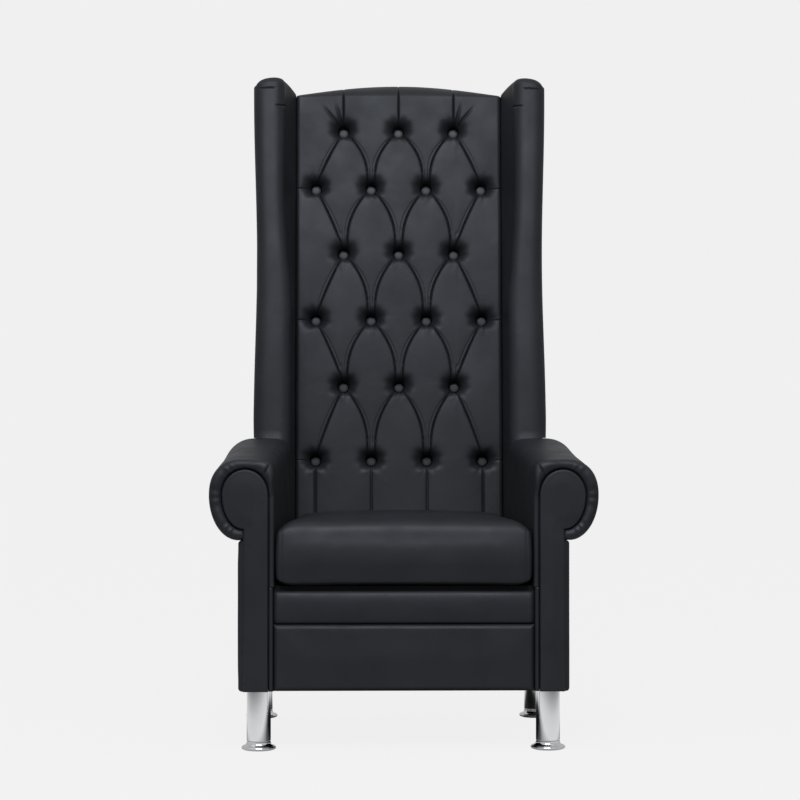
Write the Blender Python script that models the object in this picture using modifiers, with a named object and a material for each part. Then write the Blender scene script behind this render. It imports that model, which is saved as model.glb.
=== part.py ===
"""Pedicure chair: tufted wing-back seat with scroll arms on four chrome legs.

Metres, +Z up. The sitter faces -Y, and left is the sitter's left, at +X. The origin lies on the floor
under the middle of the chair.
"""
from math import cos, exp, pi, radians, sin, tan

import bmesh
import bpy
from mathutils import Matrix, Vector

# Clearances
GAP = 0.0003
CUSHION_GAP = 0.0015
STUD_CLEARANCE = 0.0004

# Legs and feet
LEG_DIAMETER = 0.050
LEG_LENGTH = 0.108
LEG_SETBACK = 0.002
FRONT_LEG_OUTSET = 0.005
REAR_LEG_OUTSET = 0.0203
PLATE_LENGTH = 0.060
PLATE_THICKNESS = 0.0045
PLATE_SHOWING = 0.0012
FOOT_DIAMETER = 0.072
FOOT_RIM = 0.011
FOOT_HEIGHT = 0.018
FOOT_LIP = 0.002
STUD_DIAMETER = 0.010
STUD_LENGTH = 0.035
ROUND_SIDES = 24

# Base
RAIL_HEIGHT = 0.194
RAIL_THICKNESS = 0.030
BOARD_THICKNESS = 0.025
DECK_THICKNESS = 0.018
CORNER_BLOCK = 0.060
DUST_COVER_THICKNESS = 0.002

# Front
FRONT_PANEL_HEIGHT = 0.138
FRONT_PANEL_THICKNESS = 0.022
ROLL_DEPTH = 0.036
FACING_THICKNESS = 0.012
PANEL_EDGE = 0.004
FRONT_PANEL_EDGE = 0.008

# Seat
SEAT_DEPTH = 0.488
SEAT_FRONT_WIDTH = 0.536
SEAT_BACK_WIDTH = 0.477
CUSHION_THICKNESS = 0.128
CUSHION_CROWN = 0.016
CUSHION_CORNER = 0.030
CUSHION_PULL = 0.003
CUSHION_SEAM = 0.012
CUSHION_SEAM_INSET = 0.010

# Arms
ARM_WALL = 0.029
SIDE_PAD = 0.020
SCROLL_ABOVE_DECK = 0.1885
SCROLL_RISE = 0.074
SCROLL_OVERHANG = 0.0605
SCROLL_TUCK = 0.093
ARM_CLIMB = 0.030
BOARD_INTO_SCROLL = 0.015
FACING_INSET_TOP = 0.026
FACING_INSET_INNER = 0.010
FACING_INSET_OUTER = 0.011
ARM_EDGE = 0.006
ARM_EDGE_DEPTH = 0.012

# Back, measured along its lean from the seat deck
RECLINE = radians(5.0)
BACK_LENGTH = 1.138
BACK_ARCH = 0.030
BACK_PAD = 0.105
BACK_BOARD = 0.012
POST_DEPTH = 0.038
POST_WIDTH = 0.075
TOP_RAIL_HEIGHT = 0.080
TOP_ROLL = 0.045
OUTSIDE_BACK = 0.015
OUTSIDE_BACK_LIP = 0.012

# Tufting
TUFT_PITCH = 0.128
TUFT_FIRST_ROW = 0.246
TUFT_ROW_STEPS = (0.171, 0.155, 0.155, 0.153, 0.135)
PLEAT_CURVE = 2.2
TUFT_CHANNEL = 0.030
TUFT_BUTTON_DEPTH = 0.048
BUTTON_DIAMETER = 0.024
BUTTON_HEIGHT = 0.009
BUTTON_SEAT = 0.026
BUTTON_SIDES = 10
EDGE_ROLL = 0.028
EDGE_THIN = 0.030

# Wings
WING_REACH = 0.115
WING_NOSE = 0.034
WING_FRONT_WIDTH = 0.068
WING_OUTER_PAD = 0.006
WING_BELOW_BACK = 0.0052
WING_FOOT_ABOVE_DECK = 0.2235
WING_CAP = 0.035
WING_TOP_ROUND = ((0.030, 0.0), (0.012, 0.005), (0.003, 0.012), (0.0, 0.020))

# Heights
BODY_BOTTOM = FOOT_HEIGHT + GAP + LEG_LENGTH
PLATE_BOTTOM = BODY_BOTTOM - PLATE_SHOWING
RAIL_BOTTOM = PLATE_BOTTOM + PLATE_THICKNESS + GAP
DECK_BOTTOM = RAIL_BOTTOM + RAIL_HEIGHT + GAP
DECK_TOP = DECK_BOTTOM + DECK_THICKNESS
SEAT_BOTTOM = DECK_TOP + GAP
SCROLL_HEIGHT = SEAT_BOTTOM + SCROLL_ABOVE_DECK
WING_TOP = SEAT_BOTTOM + BACK_LENGTH * cos(RECLINE) - WING_BELOW_BACK
WING_BOTTOM = SEAT_BOTTOM + WING_FOOT_ABOVE_DECK

# Places across the chair
ARM_INNER_FRONT = SEAT_FRONT_WIDTH / 2
ARM_INNER_BACK = SEAT_BACK_WIDTH / 2
BOARD_INNER = ARM_INNER_FRONT + ARM_WALL
BOARD_OUTER = BOARD_INNER + BOARD_THICKNESS
BOARD_MIDDLE = (BOARD_INNER + BOARD_OUTER) / 2
SIDE_OUTER = BOARD_OUTER + GAP + SIDE_PAD
SCROLL_OUTER = SIDE_OUTER + SCROLL_OVERHANG
WING_OUTER = BOARD_OUTER + GAP + WING_OUTER_PAD
BACK_HALF = ARM_INNER_BACK - GAP
POST_OUTER = BOARD_INNER - GAP
POST_INNER = POST_OUTER - POST_WIDTH
PLATE_OUTER = BOARD_OUTER - GAP
FRONT_LEG_X = PLATE_OUTER + FRONT_LEG_OUTSET - LEG_DIAMETER / 2
REAR_LEG_X = PLATE_OUTER + REAR_LEG_OUTSET - LEG_DIAMETER / 2
PLATE_INNER = FRONT_LEG_X - LEG_DIAMETER / 2

# The back's layers, from the back of the cushion rearwards
BOARD_FACE = GAP
POST_FACE = BOARD_FACE + BACK_BOARD + GAP
PANEL_FACE = POST_FACE + POST_DEPTH + GAP
BACK_REAR = PANEL_FACE + OUTSIDE_BACK
FRAME_TOP = BACK_LENGTH - TOP_ROLL
PANEL_TOP = FRAME_TOP + OUTSIDE_BACK_LIP

# Places along the chair: half of its depth lies on each side of the origin
DEPTH = SEAT_DEPTH + BACK_PAD / cos(RECLINE) + BACK_REAR * cos(RECLINE) + PANEL_TOP * sin(RECLINE)
FRONT = -DEPTH / 2
RAIL_FRONT = FRONT + ROLL_DEPTH + GAP
ARM_FRONT = RAIL_FRONT - FRONT_PANEL_THICKNESS + GAP
BACK_FOOT_Y = FRONT + SEAT_DEPTH + BACK_PAD / cos(RECLINE)
FRONT_LEG_Y = RAIL_FRONT + LEG_SETBACK + PLATE_LENGTH / 2

LEATHER = (0.018, 0.018, 0.020, 1.0)
CHROME = (0.78, 0.79, 0.80, 1.0)
TIMBER = (0.46, 0.31, 0.17, 1.0)
PLYWOOD = (0.58, 0.43, 0.26, 1.0)
CLOTH = (0.03, 0.03, 0.03, 1.0)

SIDES = {"left": 1, "right": -1}
ALONG_X = Matrix(((0, 0, 1, 0), (1, 0, 0, 0), (0, 1, 0, 0), (0, 0, 0, 1)))
ALONG_Y = Matrix(((1, 0, 0, 0), (0, 0, -1, 0), (0, 1, 0, 0), (0, 0, 0, 1)))
ALONG_Z = Matrix.Identity(4)


def start_scene():
    """Empty the scene and add one collection for the chair and one for its cutters."""
    for old in list(bpy.data.objects):
        bpy.data.objects.remove(old, do_unlink=True)
    groups = []
    for name in ("pedicure_chair", "cutters"):
        group = bpy.data.collections.new(name)
        bpy.context.scene.collection.children.link(group)
        groups.append(group)
    return groups


CHAIR, CUTTERS = start_scene()


def finish(name, colour, roughness, metallic=0.0):
    material = bpy.data.materials.new(name)
    material.use_nodes = True
    shader = material.node_tree.nodes["Principled BSDF"]
    shader.inputs["Base Color"].default_value = colour
    shader.inputs["Roughness"].default_value = roughness
    shader.inputs["Metallic"].default_value = metallic
    return material


def back_plane(z, layer):
    """The y of a layer of the leaning back at a height above the floor."""
    return BACK_FOOT_Y + layer / cos(RECLINE) + (z - SEAT_BOTTOM) * tan(RECLINE)


def add_object(name, bm, colour, roughness, metallic=0.0, cutter=False):
    bmesh.ops.recalc_face_normals(bm, faces=bm.faces[:])
    mesh = bpy.data.meshes.new(name)
    bm.to_mesh(mesh)
    bm.free()
    mesh.shade_smooth()
    mesh.set_sharp_from_angle(angle=radians(40))
    part = bpy.data.objects.new(name, mesh)
    if cutter:
        part.hide_render = True
        part.display_type = "WIRE"
        CUTTERS.objects.link(part)
    else:
        mesh.materials.append(finish(name, colour, roughness, metallic))
        CHAIR.objects.link(part)
    return part


def box(low, high):
    bm = bmesh.new()
    bmesh.ops.create_cube(bm, size=1.0)
    size = Vector(high) - Vector(low)
    middle = (Vector(high) + Vector(low)) / 2
    place = Matrix.Translation(middle) @ Matrix.Diagonal((*size, 1))
    bmesh.ops.transform(bm, matrix=place, verts=bm.verts[:])
    return bm


def extruded(outline, place, start, end):
    """A flat outline drawn as a filled 2D curve, given thickness from start to end along its normal."""
    curve = bpy.data.curves.new("outline", "CURVE")
    curve.dimensions = "2D"
    curve.fill_mode = "BOTH"
    curve.extrude = (end - start) / 2
    spline = curve.splines.new("POLY")
    spline.points.add(len(outline) - 1)
    for point, (u, v) in zip(spline.points, outline):
        point.co = (u, v, 0, 1)
    spline.use_cyclic_u = True
    drawn = bpy.data.objects.new("outline", curve)
    CUTTERS.objects.link(drawn)
    evaluated = drawn.evaluated_get(bpy.context.evaluated_depsgraph_get())
    mesh = bpy.data.meshes.new_from_object(evaluated)
    bpy.data.objects.remove(drawn)
    bm = bmesh.new()
    bm.from_mesh(mesh)
    bpy.data.meshes.remove(mesh)
    bmesh.ops.remove_doubles(bm, verts=bm.verts[:], dist=0.00001)
    lift = Matrix.Translation((0, 0, (start + end) / 2))
    bmesh.ops.transform(bm, matrix=place @ lift, verts=bm.verts[:])
    return bm


def across(outline, side, inner, outer):
    """An outline of (y, z) points given thickness across the chair, on one side or (side 0) centred."""
    if side == 0:
        return extruded(outline, ALONG_X, inner, outer)
    start, end = sorted((side * inner, side * outer))
    return extruded(outline, ALONG_X, start, end)


def lofted(rings):
    """A closed solid through rings of equally many points, with flat ends."""
    bm = bmesh.new()
    rows = [[bm.verts.new(point) for point in ring] for ring in rings]
    for near, far in zip(rows, rows[1:]):
        for i in range(len(near)):
            j = (i + 1) % len(near)
            bm.faces.new((near[i], near[j], far[j], far[i]))
    bm.faces.new(rows[0])
    bm.faces.new(rows[-1])
    return bm


def arc(centre, reach, start, end, steps):
    """Points on an ellipse from one angle to another, in degrees, both ends included."""
    angles = [radians(start + (end - start) * i / steps) for i in range(steps + 1)]
    return [(centre[0] + reach[0] * cos(a), centre[1] + reach[1] * sin(a)) for a in angles]


def round_edges(part, width, segments=2):
    bevel = part.modifiers.new("Rounded edges", "BEVEL")
    bevel.width = width
    bevel.segments = segments
    bevel.limit_method = "ANGLE"
    bevel.angle_limit = radians(50)
    return part


def cut(part, *cutters):
    for cutter in cutters:
        boolean = part.modifiers.new(cutter.name, "BOOLEAN")
        boolean.operation = "DIFFERENCE"
        boolean.solver = "EXACT"
        boolean.object = cutter
    return part


def turned(name, profile, place, steps, colour, roughness, metallic=0.0):
    """A profile of (radius, height) points turned about a vertical axis."""
    mesh = bpy.data.meshes.new(name)
    edges = [(i, i + 1) for i in range(len(profile) - 1)]
    mesh.from_pydata([(r, 0, z) for r, z in profile], edges, [])
    mesh.materials.append(finish(name, colour, roughness, metallic))
    part = bpy.data.objects.new(name, mesh)
    part.location = place
    CHAIR.objects.link(part)
    screw = part.modifiers.new("Turned", "SCREW")
    screw.steps = steps
    screw.render_steps = steps
    screw.use_merge_vertices = True
    screw.merge_threshold = 0.00001
    return part


def back_frame():
    """The leaning frame that every piece of the back hangs on."""
    frame = bpy.data.objects.new("back_frame", None)
    frame.location = (0, BACK_FOOT_Y, SEAT_BOTTOM)
    frame.rotation_euler = (-RECLINE, 0, 0)
    CHAIR.objects.link(frame)
    return frame


BACK = back_frame()


def lean(part):
    part.parent = BACK
    return part


def leather(name, bm, roughness=0.42):
    return add_object(name, bm, LEATHER, roughness)


def timber(name, bm):
    return add_object(name, bm, TIMBER, 0.7)


def plywood(name, bm):
    return add_object(name, bm, PLYWOOD, 0.65)


def wing_front(z):
    """The y of the front of a wing at a height above the floor."""
    return back_plane(z, -BACK_PAD - WING_REACH)


def wing_board_front(z):
    return wing_front(z) + WING_NOSE


def wing_board_top():
    return WING_TOP - WING_CAP


def side_board_outline(grow):
    """The side board in (y, z): arm height at the front, wing height behind, grown where pads wrap it."""
    arm_top = SCROLL_HEIGHT + BOARD_INTO_SCROLL + grow
    wing_top = wing_board_top() + grow
    bottom = RAIL_BOTTOM - 2 * grow
    rear = PANEL_FACE - GAP + 2 * grow
    front = ARM_FRONT - 2 * grow
    return [
        (front, bottom),
        (back_plane(bottom, rear), bottom),
        (back_plane(wing_top, rear), wing_top),
        (wing_board_front(wing_top) - grow, wing_top),
        (wing_board_front(arm_top) - grow, arm_top),
        (front, arm_top),
    ]


def scroll_outline(inner, outer, side, bottom, middle, crest, tuck):
    """An arm's section in (x, z): straight inner wall, rolled top, and a tuck back to the side."""
    roll = arc(((inner + outer) / 2, middle), ((outer - inner) / 2, crest - middle), 180, 0, 10)
    under = arc((side, middle), (outer - side, middle - tuck), 0, -90, 6)[1:]
    return [(inner, bottom)] + roll + under


def arm_inner(y):
    """The inner wall narrows from the seat's front width to its back width, then runs straight."""
    bend = back_plane(SCROLL_HEIGHT, -BACK_PAD)
    share = min(max((y - ARM_FRONT) / (bend - ARM_FRONT), 0.0), 1.0)
    return ARM_INNER_FRONT + (ARM_INNER_BACK - ARM_INNER_FRONT) * share


def arm_crest(y):
    rise = (y - ARM_FRONT) / (wing_front(SCROLL_HEIGHT) - ARM_FRONT)
    return SCROLL_HEIGHT + SCROLL_RISE + ARM_CLIMB * min(rise, 1.0)


def arm_ring(side, y, inset, rear_layer=None):
    """One ring of an arm pad, upright at a given y or, at the rear, lying on a layer of the back."""
    section = scroll_outline(
        arm_inner(y) + inset, SCROLL_OUTER - inset, SIDE_OUTER,
        SEAT_BOTTOM, SCROLL_HEIGHT, arm_crest(y) - inset, SCROLL_HEIGHT - SCROLL_TUCK + inset,
    )
    tuck = SCROLL_HEIGHT - SCROLL_TUCK + inset
    section += [(BOARD_MIDDLE, tuck), (BOARD_MIDDLE, SEAT_BOTTOM)]
    if rear_layer is None:
        return [(side * x, y, z) for x, z in section]
    return [(side * x, back_plane(z, rear_layer), z) for x, z in section]


def arm_solid(side):
    bend = back_plane(SCROLL_HEIGHT, -BACK_PAD)
    nose = wing_front(SCROLL_HEIGHT)
    rear = PANEL_FACE - GAP
    rings = [
        arm_ring(side, ARM_FRONT, ARM_EDGE),
        arm_ring(side, ARM_FRONT + ARM_EDGE_DEPTH, 0),
        arm_ring(side, (ARM_FRONT + nose) / 2, 0),
        arm_ring(side, nose, 0),
        arm_ring(side, bend, 0),
        arm_ring(side, back_plane(SCROLL_HEIGHT, rear), 0, rear),
    ]
    return lofted(rings)


def wing_ring(side, z, inset):
    """One level ring of a wing: inner wall, rounded front edge, outer wall."""
    inner_back = ARM_INNER_BACK + inset
    inner_front = WING_OUTER - WING_FRONT_WIDTH + inset
    outer = WING_OUTER - inset
    nose = wing_front(z) + inset
    rear = back_plane(z, PANEL_FACE - GAP) - inset
    turn = wing_front(z) + WING_NOSE
    half = (outer - inner_front) / 2
    edge = arc(((inner_front + outer) / 2, turn), (half, turn - nose), 180, 360, 8)
    ring = [(inner_back, rear), (inner_back, back_plane(z, -BACK_PAD))] + edge + [(outer, rear)]
    return [(side * x, y, z) for x, y in ring]


def wing_solid(side, grow):
    """A wing from its foot on the arm to its rounded top, grown evenly where it cuts the arm."""
    foot = WING_BOTTOM - grow
    rings = [wing_ring(side, foot, -grow)]
    rings += [wing_ring(side, WING_TOP + grow - drop, inset - grow) for drop, inset in WING_TOP_ROUND]
    return lofted(rings)


def post_zone():
    """The room that the posts and rails of the back take, cut out of the pads beside them."""
    low = (-BOARD_MIDDLE, POST_FACE - GAP, -SEAT_BOTTOM)
    high = (BOARD_MIDDLE, BACK_REAR + OUTSIDE_BACK, FRAME_TOP + GAP)
    return lean(add_object("post_zone", box(low, high), None, None, cutter=True))


def build_arms_and_wings():
    posts = post_zone()
    for name, side in SIDES.items():
        board_room = add_object(
            "board_room_" + name, across(side_board_outline(GAP), side, BOARD_INNER - GAP, BOARD_OUTER + GAP),
            None, None, cutter=True)
        outer_room = add_object(
            "outer_room_" + name, across(side_board_outline(GAP), side, BOARD_INNER - GAP, SCROLL_OUTER),
            None, None, cutter=True)
        wing_room = add_object("wing_room_" + name, wing_solid(side, GAP), None, None, cutter=True)
        cut(leather("arm_pad_" + name, arm_solid(side)), board_room, wing_room, posts)
        cut(leather("wing_pad_" + name, wing_solid(side, 0)), outer_room, posts)
        plywood("side_board_" + name, across(side_board_outline(0), side, BOARD_INNER, BOARD_OUTER))
        build_outer_panels(name, side)
        build_facing(name, side)


def build_outer_panels(name, side):
    """The padded panels outside the side board: below the scroll and outside the wing."""
    rear = PANEL_FACE - GAP
    tuck = SCROLL_HEIGHT - SCROLL_TUCK - GAP
    lower = [
        (ARM_FRONT, BODY_BOTTOM), (back_plane(BODY_BOTTOM, rear), BODY_BOTTOM),
        (back_plane(tuck, rear), tuck), (ARM_FRONT, tuck),
    ]
    panel = leather("side_panel_" + name, across(lower, side, BOARD_OUTER + GAP, SIDE_OUTER))
    round_edges(panel, PANEL_EDGE)
    top = wing_board_top()
    upper = [
        (wing_board_front(WING_BOTTOM), WING_BOTTOM), (back_plane(WING_BOTTOM, rear), WING_BOTTOM),
        (back_plane(top, rear), top), (wing_board_front(top), top),
    ]
    leather("wing_outer_panel_" + name, across(upper, side, BOARD_OUTER + GAP, WING_OUTER))


def build_facing(name, side):
    """The keyhole facing on the front end of an arm, running down to the base."""
    neck = SIDE_OUTER - FACING_INSET_OUTER
    outline = scroll_outline(
        ARM_INNER_FRONT + FACING_INSET_INNER, SCROLL_OUTER - FACING_INSET_TOP, neck,
        BODY_BOTTOM, SCROLL_HEIGHT, SCROLL_HEIGHT + SCROLL_RISE - FACING_INSET_TOP,
        SCROLL_HEIGHT - SCROLL_TUCK + FACING_INSET_OUTER,
    )
    outline.append((neck, BODY_BOTTOM))
    outline = [(side * x, z) for x, z in outline]
    front = ARM_FRONT - GAP - FACING_THICKNESS
    facing = leather("arm_facing_" + name, extruded(outline, ALONG_Y, -ARM_FRONT + GAP, -front))
    round_edges(facing, PANEL_EDGE)


def build_base():
    deck_rear = POST_FACE - GAP
    rail_back = RAIL_FRONT + RAIL_THICKNESS
    rail_top = RAIL_BOTTOM + RAIL_HEIGHT
    timber("base_front_rail", box((-POST_OUTER, RAIL_FRONT, RAIL_BOTTOM), (POST_OUTER, rail_back, rail_top)))
    side_start = rail_back + GAP
    side_rail = [
        (side_start, RAIL_BOTTOM), (back_plane(RAIL_BOTTOM, deck_rear), RAIL_BOTTOM),
        (back_plane(rail_top, deck_rear), rail_top), (side_start, rail_top),
    ]
    rail_inner = POST_OUTER - RAIL_THICKNESS
    for name, side in SIDES.items():
        timber("base_side_rail_" + name, across(side_rail, side, rail_inner, POST_OUTER))
        corner = (side * (rail_inner - GAP), side_start)
        block = [corner, (corner[0] - side * CORNER_BLOCK, corner[1]), (corner[0], corner[1] + CORNER_BLOCK)]
        timber("corner_block_" + name, extruded(block, ALONG_Z, RAIL_BOTTOM, rail_top))
    deck = [
        (RAIL_FRONT, DECK_BOTTOM), (back_plane(DECK_BOTTOM, deck_rear), DECK_BOTTOM),
        (back_plane(DECK_TOP, deck_rear), DECK_TOP), (RAIL_FRONT, DECK_TOP),
    ]
    add_object("seat_deck", across(deck, 0, -POST_OUTER, POST_OUTER), CLOTH, 0.95)
    cover_half = PLATE_INNER - GAP
    cover_low = RAIL_BOTTOM - GAP - DUST_COVER_THICKNESS
    cover_rear = back_plane(RAIL_BOTTOM, deck_rear)
    cover = box((-cover_half, RAIL_FRONT, cover_low), (cover_half, cover_rear, RAIL_BOTTOM - GAP))
    add_object("dust_cover", cover, CLOTH, 0.95)


def build_legs():
    radius = LEG_DIAMETER / 2
    bore = STUD_DIAMETER / 2 + STUD_CLEARANCE
    leg_bottom = FOOT_HEIGHT + GAP
    bore_top = FOOT_HEIGHT + STUD_LENGTH + STUD_CLEARANCE
    leg_top = BODY_BOTTOM - GAP
    tube = [(0, leg_top), (radius, leg_top), (radius, leg_bottom), (bore, leg_bottom),
            (bore, bore_top), (0, bore_top)]
    stud = STUD_DIAMETER / 2
    rim = FOOT_DIAMETER / 2
    foot = [(0, FOOT_HEIGHT + STUD_LENGTH), (stud, FOOT_HEIGHT + STUD_LENGTH), (stud, FOOT_HEIGHT),
            (radius, FOOT_HEIGHT), ((radius + rim) / 2, (FOOT_HEIGHT + FOOT_RIM) / 2 - FOOT_LIP / 2),
            (rim, FOOT_RIM - FOOT_LIP), (rim, FOOT_LIP), (rim - FOOT_LIP, 0), (0, 0)]
    rear_leg_y = back_plane(RAIL_BOTTOM, POST_FACE)
    for end, x, y in (("front", FRONT_LEG_X, FRONT_LEG_Y), ("rear", REAR_LEG_X, rear_leg_y)):
        for name, side in SIDES.items():
            place = (side * x, y, 0)
            leg = turned("leg_%s_%s" % (end, name), tube, place, ROUND_SIDES, CHROME, 0.08, 1.0)
            near, far = sorted((side * PLATE_INNER, side * PLATE_OUTER))
            low = (near, y - PLATE_LENGTH / 2, PLATE_BOTTOM)
            high = (far, y + PLATE_LENGTH / 2, PLATE_BOTTOM + PLATE_THICKNESS)
            plate = add_object("plate_%s_%s" % (end, name), box(low, high), None, None, cutter=True)
            weld = leg.modifiers.new("Welded plate", "BOOLEAN")
            weld.operation = "UNION"
            weld.solver = "EXACT"
            weld.object = plate
            turned("levelling_foot_%s_%s" % (end, name), foot, place, ROUND_SIDES, CHROME, 0.12, 1.0)


def build_front():
    half = ARM_INNER_FRONT + FACING_INSET_INNER - GAP
    panel_top = BODY_BOTTOM + FRONT_PANEL_HEIGHT
    panel_back = RAIL_FRONT - GAP
    low = (-half, panel_back - FRONT_PANEL_THICKNESS, BODY_BOTTOM)
    round_edges(leather("front_panel", box(low, (half, panel_back, panel_top))), FRONT_PANEL_EDGE, 3)
    roll_bottom = panel_top + GAP
    roll_top = DECK_TOP - GAP
    middle = (roll_bottom + roll_top) / 2
    reach = (panel_back - FRONT - GAP, (roll_top - roll_bottom) / 2)
    nose = arc((panel_back, middle), reach, 90, 270, 14)
    round_edges(leather("seat_roll", across(nose, 0, -half, half)), PANEL_EDGE)


def seat_corners(inset):
    """The four rounded corners of the seat cushion, wider at the front than at the back."""
    rear = back_plane(SEAT_BOTTOM, -BACK_PAD) - CUSHION_GAP
    places = [(1, -1, FRONT, -90), (1, 1, rear, 0), (-1, 1, rear, 90), (-1, -1, FRONT, 180)]
    corners = []
    for side, end, y, start in places:
        x = side * (arm_inner(y) - CUSHION_GAP - CUSHION_CORNER)
        reach = CUSHION_CORNER - inset
        corners.append(arc((x, y - end * CUSHION_CORNER), (reach, reach), start, start + 90, 5))
    return corners


def seat_ring(z, inset):
    """A level ring of the seat cushion, its four sides pulled in between the corners."""
    corners = seat_corners(inset)
    ring = []
    for corner, following in zip(corners, corners[1:] + corners[:1]):
        ring += corner
        first, last = Vector(corner[-1]), Vector(following[0])
        inward = Vector((first.y - last.y, last.x - first.x)).normalized()
        for share in (0.25, 0.5, 0.75):
            ring.append(first.lerp(last, share) + inward * CUSHION_PULL * sin(pi * share))
    return [(x, y, z) for x, y in ring]


def build_seat_cushion():
    """A box cushion whose border is drawn in at both seams, with a crowned top."""
    top = SEAT_BOTTOM + CUSHION_THICKNESS
    border = [
        (0.0, CUSHION_SEAM_INSET), (CUSHION_SEAM / 3, CUSHION_SEAM_INSET / 3), (CUSHION_SEAM, 0.0),
    ]
    levels = [(SEAT_BOTTOM + rise, inset) for rise, inset in border]
    levels += [(top - rise, inset) for rise, inset in reversed(border)]
    rings = [seat_ring(z, inset) for z, inset in levels]
    rings += [crowned(rings[-1], share, top) for share in (0.85, 0.6, 0.3)]
    leather("seat_cushion", lofted(rings))


def crowned(ring, share, top):
    """A ring shrunk towards the middle of the cushion's top and raised onto its crown."""
    middle = sum((Vector(point) for point in ring), Vector()) / len(ring)
    rise = CUSHION_CROWN * (1 - share * share)
    shrunk = [middle.lerp(Vector(point), share) for point in ring]
    return [(point.x, point.y, top + rise) for point in shrunk]


def button_rows():
    """Heights of the button rows along the back, lowest first."""
    rows = [TUFT_FIRST_ROW]
    for step in TUFT_ROW_STEPS:
        rows.append(rows[-1] + step)
    return rows


def button_columns(row):
    """The lowest row has four buttons, the next three, and so on in turn."""
    if row % 2 == 0:
        return [TUFT_PITCH * (i - 1.5) for i in range(4)]
    return [TUFT_PITCH * (i - 1) for i in range(3)]


def tuft_puff(x, z):
    """How full the tufting is, from 0 on a curved pleat to 1 in the middle of a diamond."""
    rows = button_rows()
    z = min(max(z, rows[0]), rows[-1])
    x = min(max(x, -1.5 * TUFT_PITCH), 1.5 * TUFT_PITCH)
    row = 0
    while row < len(rows) - 2 and z > rows[row + 1]:
        row += 1
    share = row + ((z - rows[row]) / (rows[row + 1] - rows[row])) ** PLEAT_CURVE
    a = x / TUFT_PITCH + share / 2 + 0.5
    b = x / TUFT_PITCH - share / 2 + 0.5
    return (abs(sin(pi * a)) * abs(sin(pi * b))) ** 0.5


def back_thickness(x, z):
    """Thickness of the tufted cushion in front of the back board."""
    for row, height in enumerate(button_rows()):
        for column in button_columns(row):
            if max(abs(x - column), abs(z - height)) < BUTTON_SEAT / 2 + GAP:
                return BACK_PAD - TUFT_BUTTON_DEPTH
    dimple = 0.0
    for row, height in enumerate(button_rows()):
        for column in button_columns(row):
            away = (x - column) ** 2 + (z - height) ** 2
            dimple += exp(-away / BUTTON_SEAT ** 2)
    sunk = TUFT_CHANNEL * (1 - tuft_puff(x, z)) + (TUFT_BUTTON_DEPTH - TUFT_CHANNEL) * dimple
    edge = max(abs(x) - (BACK_HALF - EDGE_ROLL), 0.0) / EDGE_ROLL
    return BACK_PAD - sunk - EDGE_THIN * edge * edge


def tuft_lines(marks, low, high, between):
    """Grid lines just beside every mark, with more lines spread between the marks and out to the ends."""
    half = BUTTON_SEAT / 2
    lines = []
    for mark in marks:
        lines += [mark - half, mark + half]
    spread = []
    for near, far in zip(lines[1::2], lines[2::2]):
        spread += [near + (far - near) * (i + 1) / (between + 1) for i in range(between)]
    ends = [low] + [low + (lines[0] - low) * i / 3 for i in (1, 2)]
    ends += [lines[-1] + (high - lines[-1]) * i / 3 for i in (1, 2)] + [high]
    return sorted(lines + spread + ends)


def back_ring(x, heights):
    """The back cushion's side profile at one x: front face, top roll, rear step over the frame."""
    arch = BACK_ARCH * (x / BACK_HALF) ** 2
    top = BACK_LENGTH - arch
    front = [(-back_thickness(x, z), z) for z in heights]
    last = front[-1]
    rear = PANEL_FACE - GAP
    roll_low = FRAME_TOP + GAP
    roll = arc((0, last[1]), (-last[0], top - last[1]), 180, 100, 4)[1:]
    rear_top = (rear, max(top - TOP_ROLL / 2, roll_low + OUTSIDE_BACK_LIP / 2))
    over = [(rear / 2, top - TOP_ROLL / 6), rear_top, (rear, roll_low)]
    ring = front + roll + over + [(-GAP, roll_low), (-GAP, 0)]
    return [(x, y, z) for y, z in ring]


def build_back_cushion():
    columns = [TUFT_PITCH * (i - 3) / 2 for i in range(7)]
    lines = tuft_lines(columns, -BACK_HALF, BACK_HALF, 1)
    heights = tuft_lines(button_rows(), 0, FRAME_TOP, 3)
    lean(leather("back_cushion", lofted([back_ring(x, heights) for x in lines])))


def build_buttons():
    """Covered dome buttons, each seated in its dimple and numbered from the lowest row up."""
    radius = BUTTON_DIAMETER / 2
    dome = arc((0, 0), (radius, BUTTON_HEIGHT), 90, 0, 4)
    profile = [(abs(r), z) for r, z in dome] + [(0, 0)]
    number = 0
    for row, height in enumerate(button_rows()):
        for x in button_columns(row):
            number += 1
            seat = -(BACK_PAD - TUFT_BUTTON_DEPTH) - GAP
            place = (x, seat, height)
            button = turned("tuft_button_%02d" % number, profile, place, BUTTON_SIDES, LEATHER, 0.4)
            button.rotation_euler = (pi / 2, 0, 0)
            lean(button)


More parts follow.
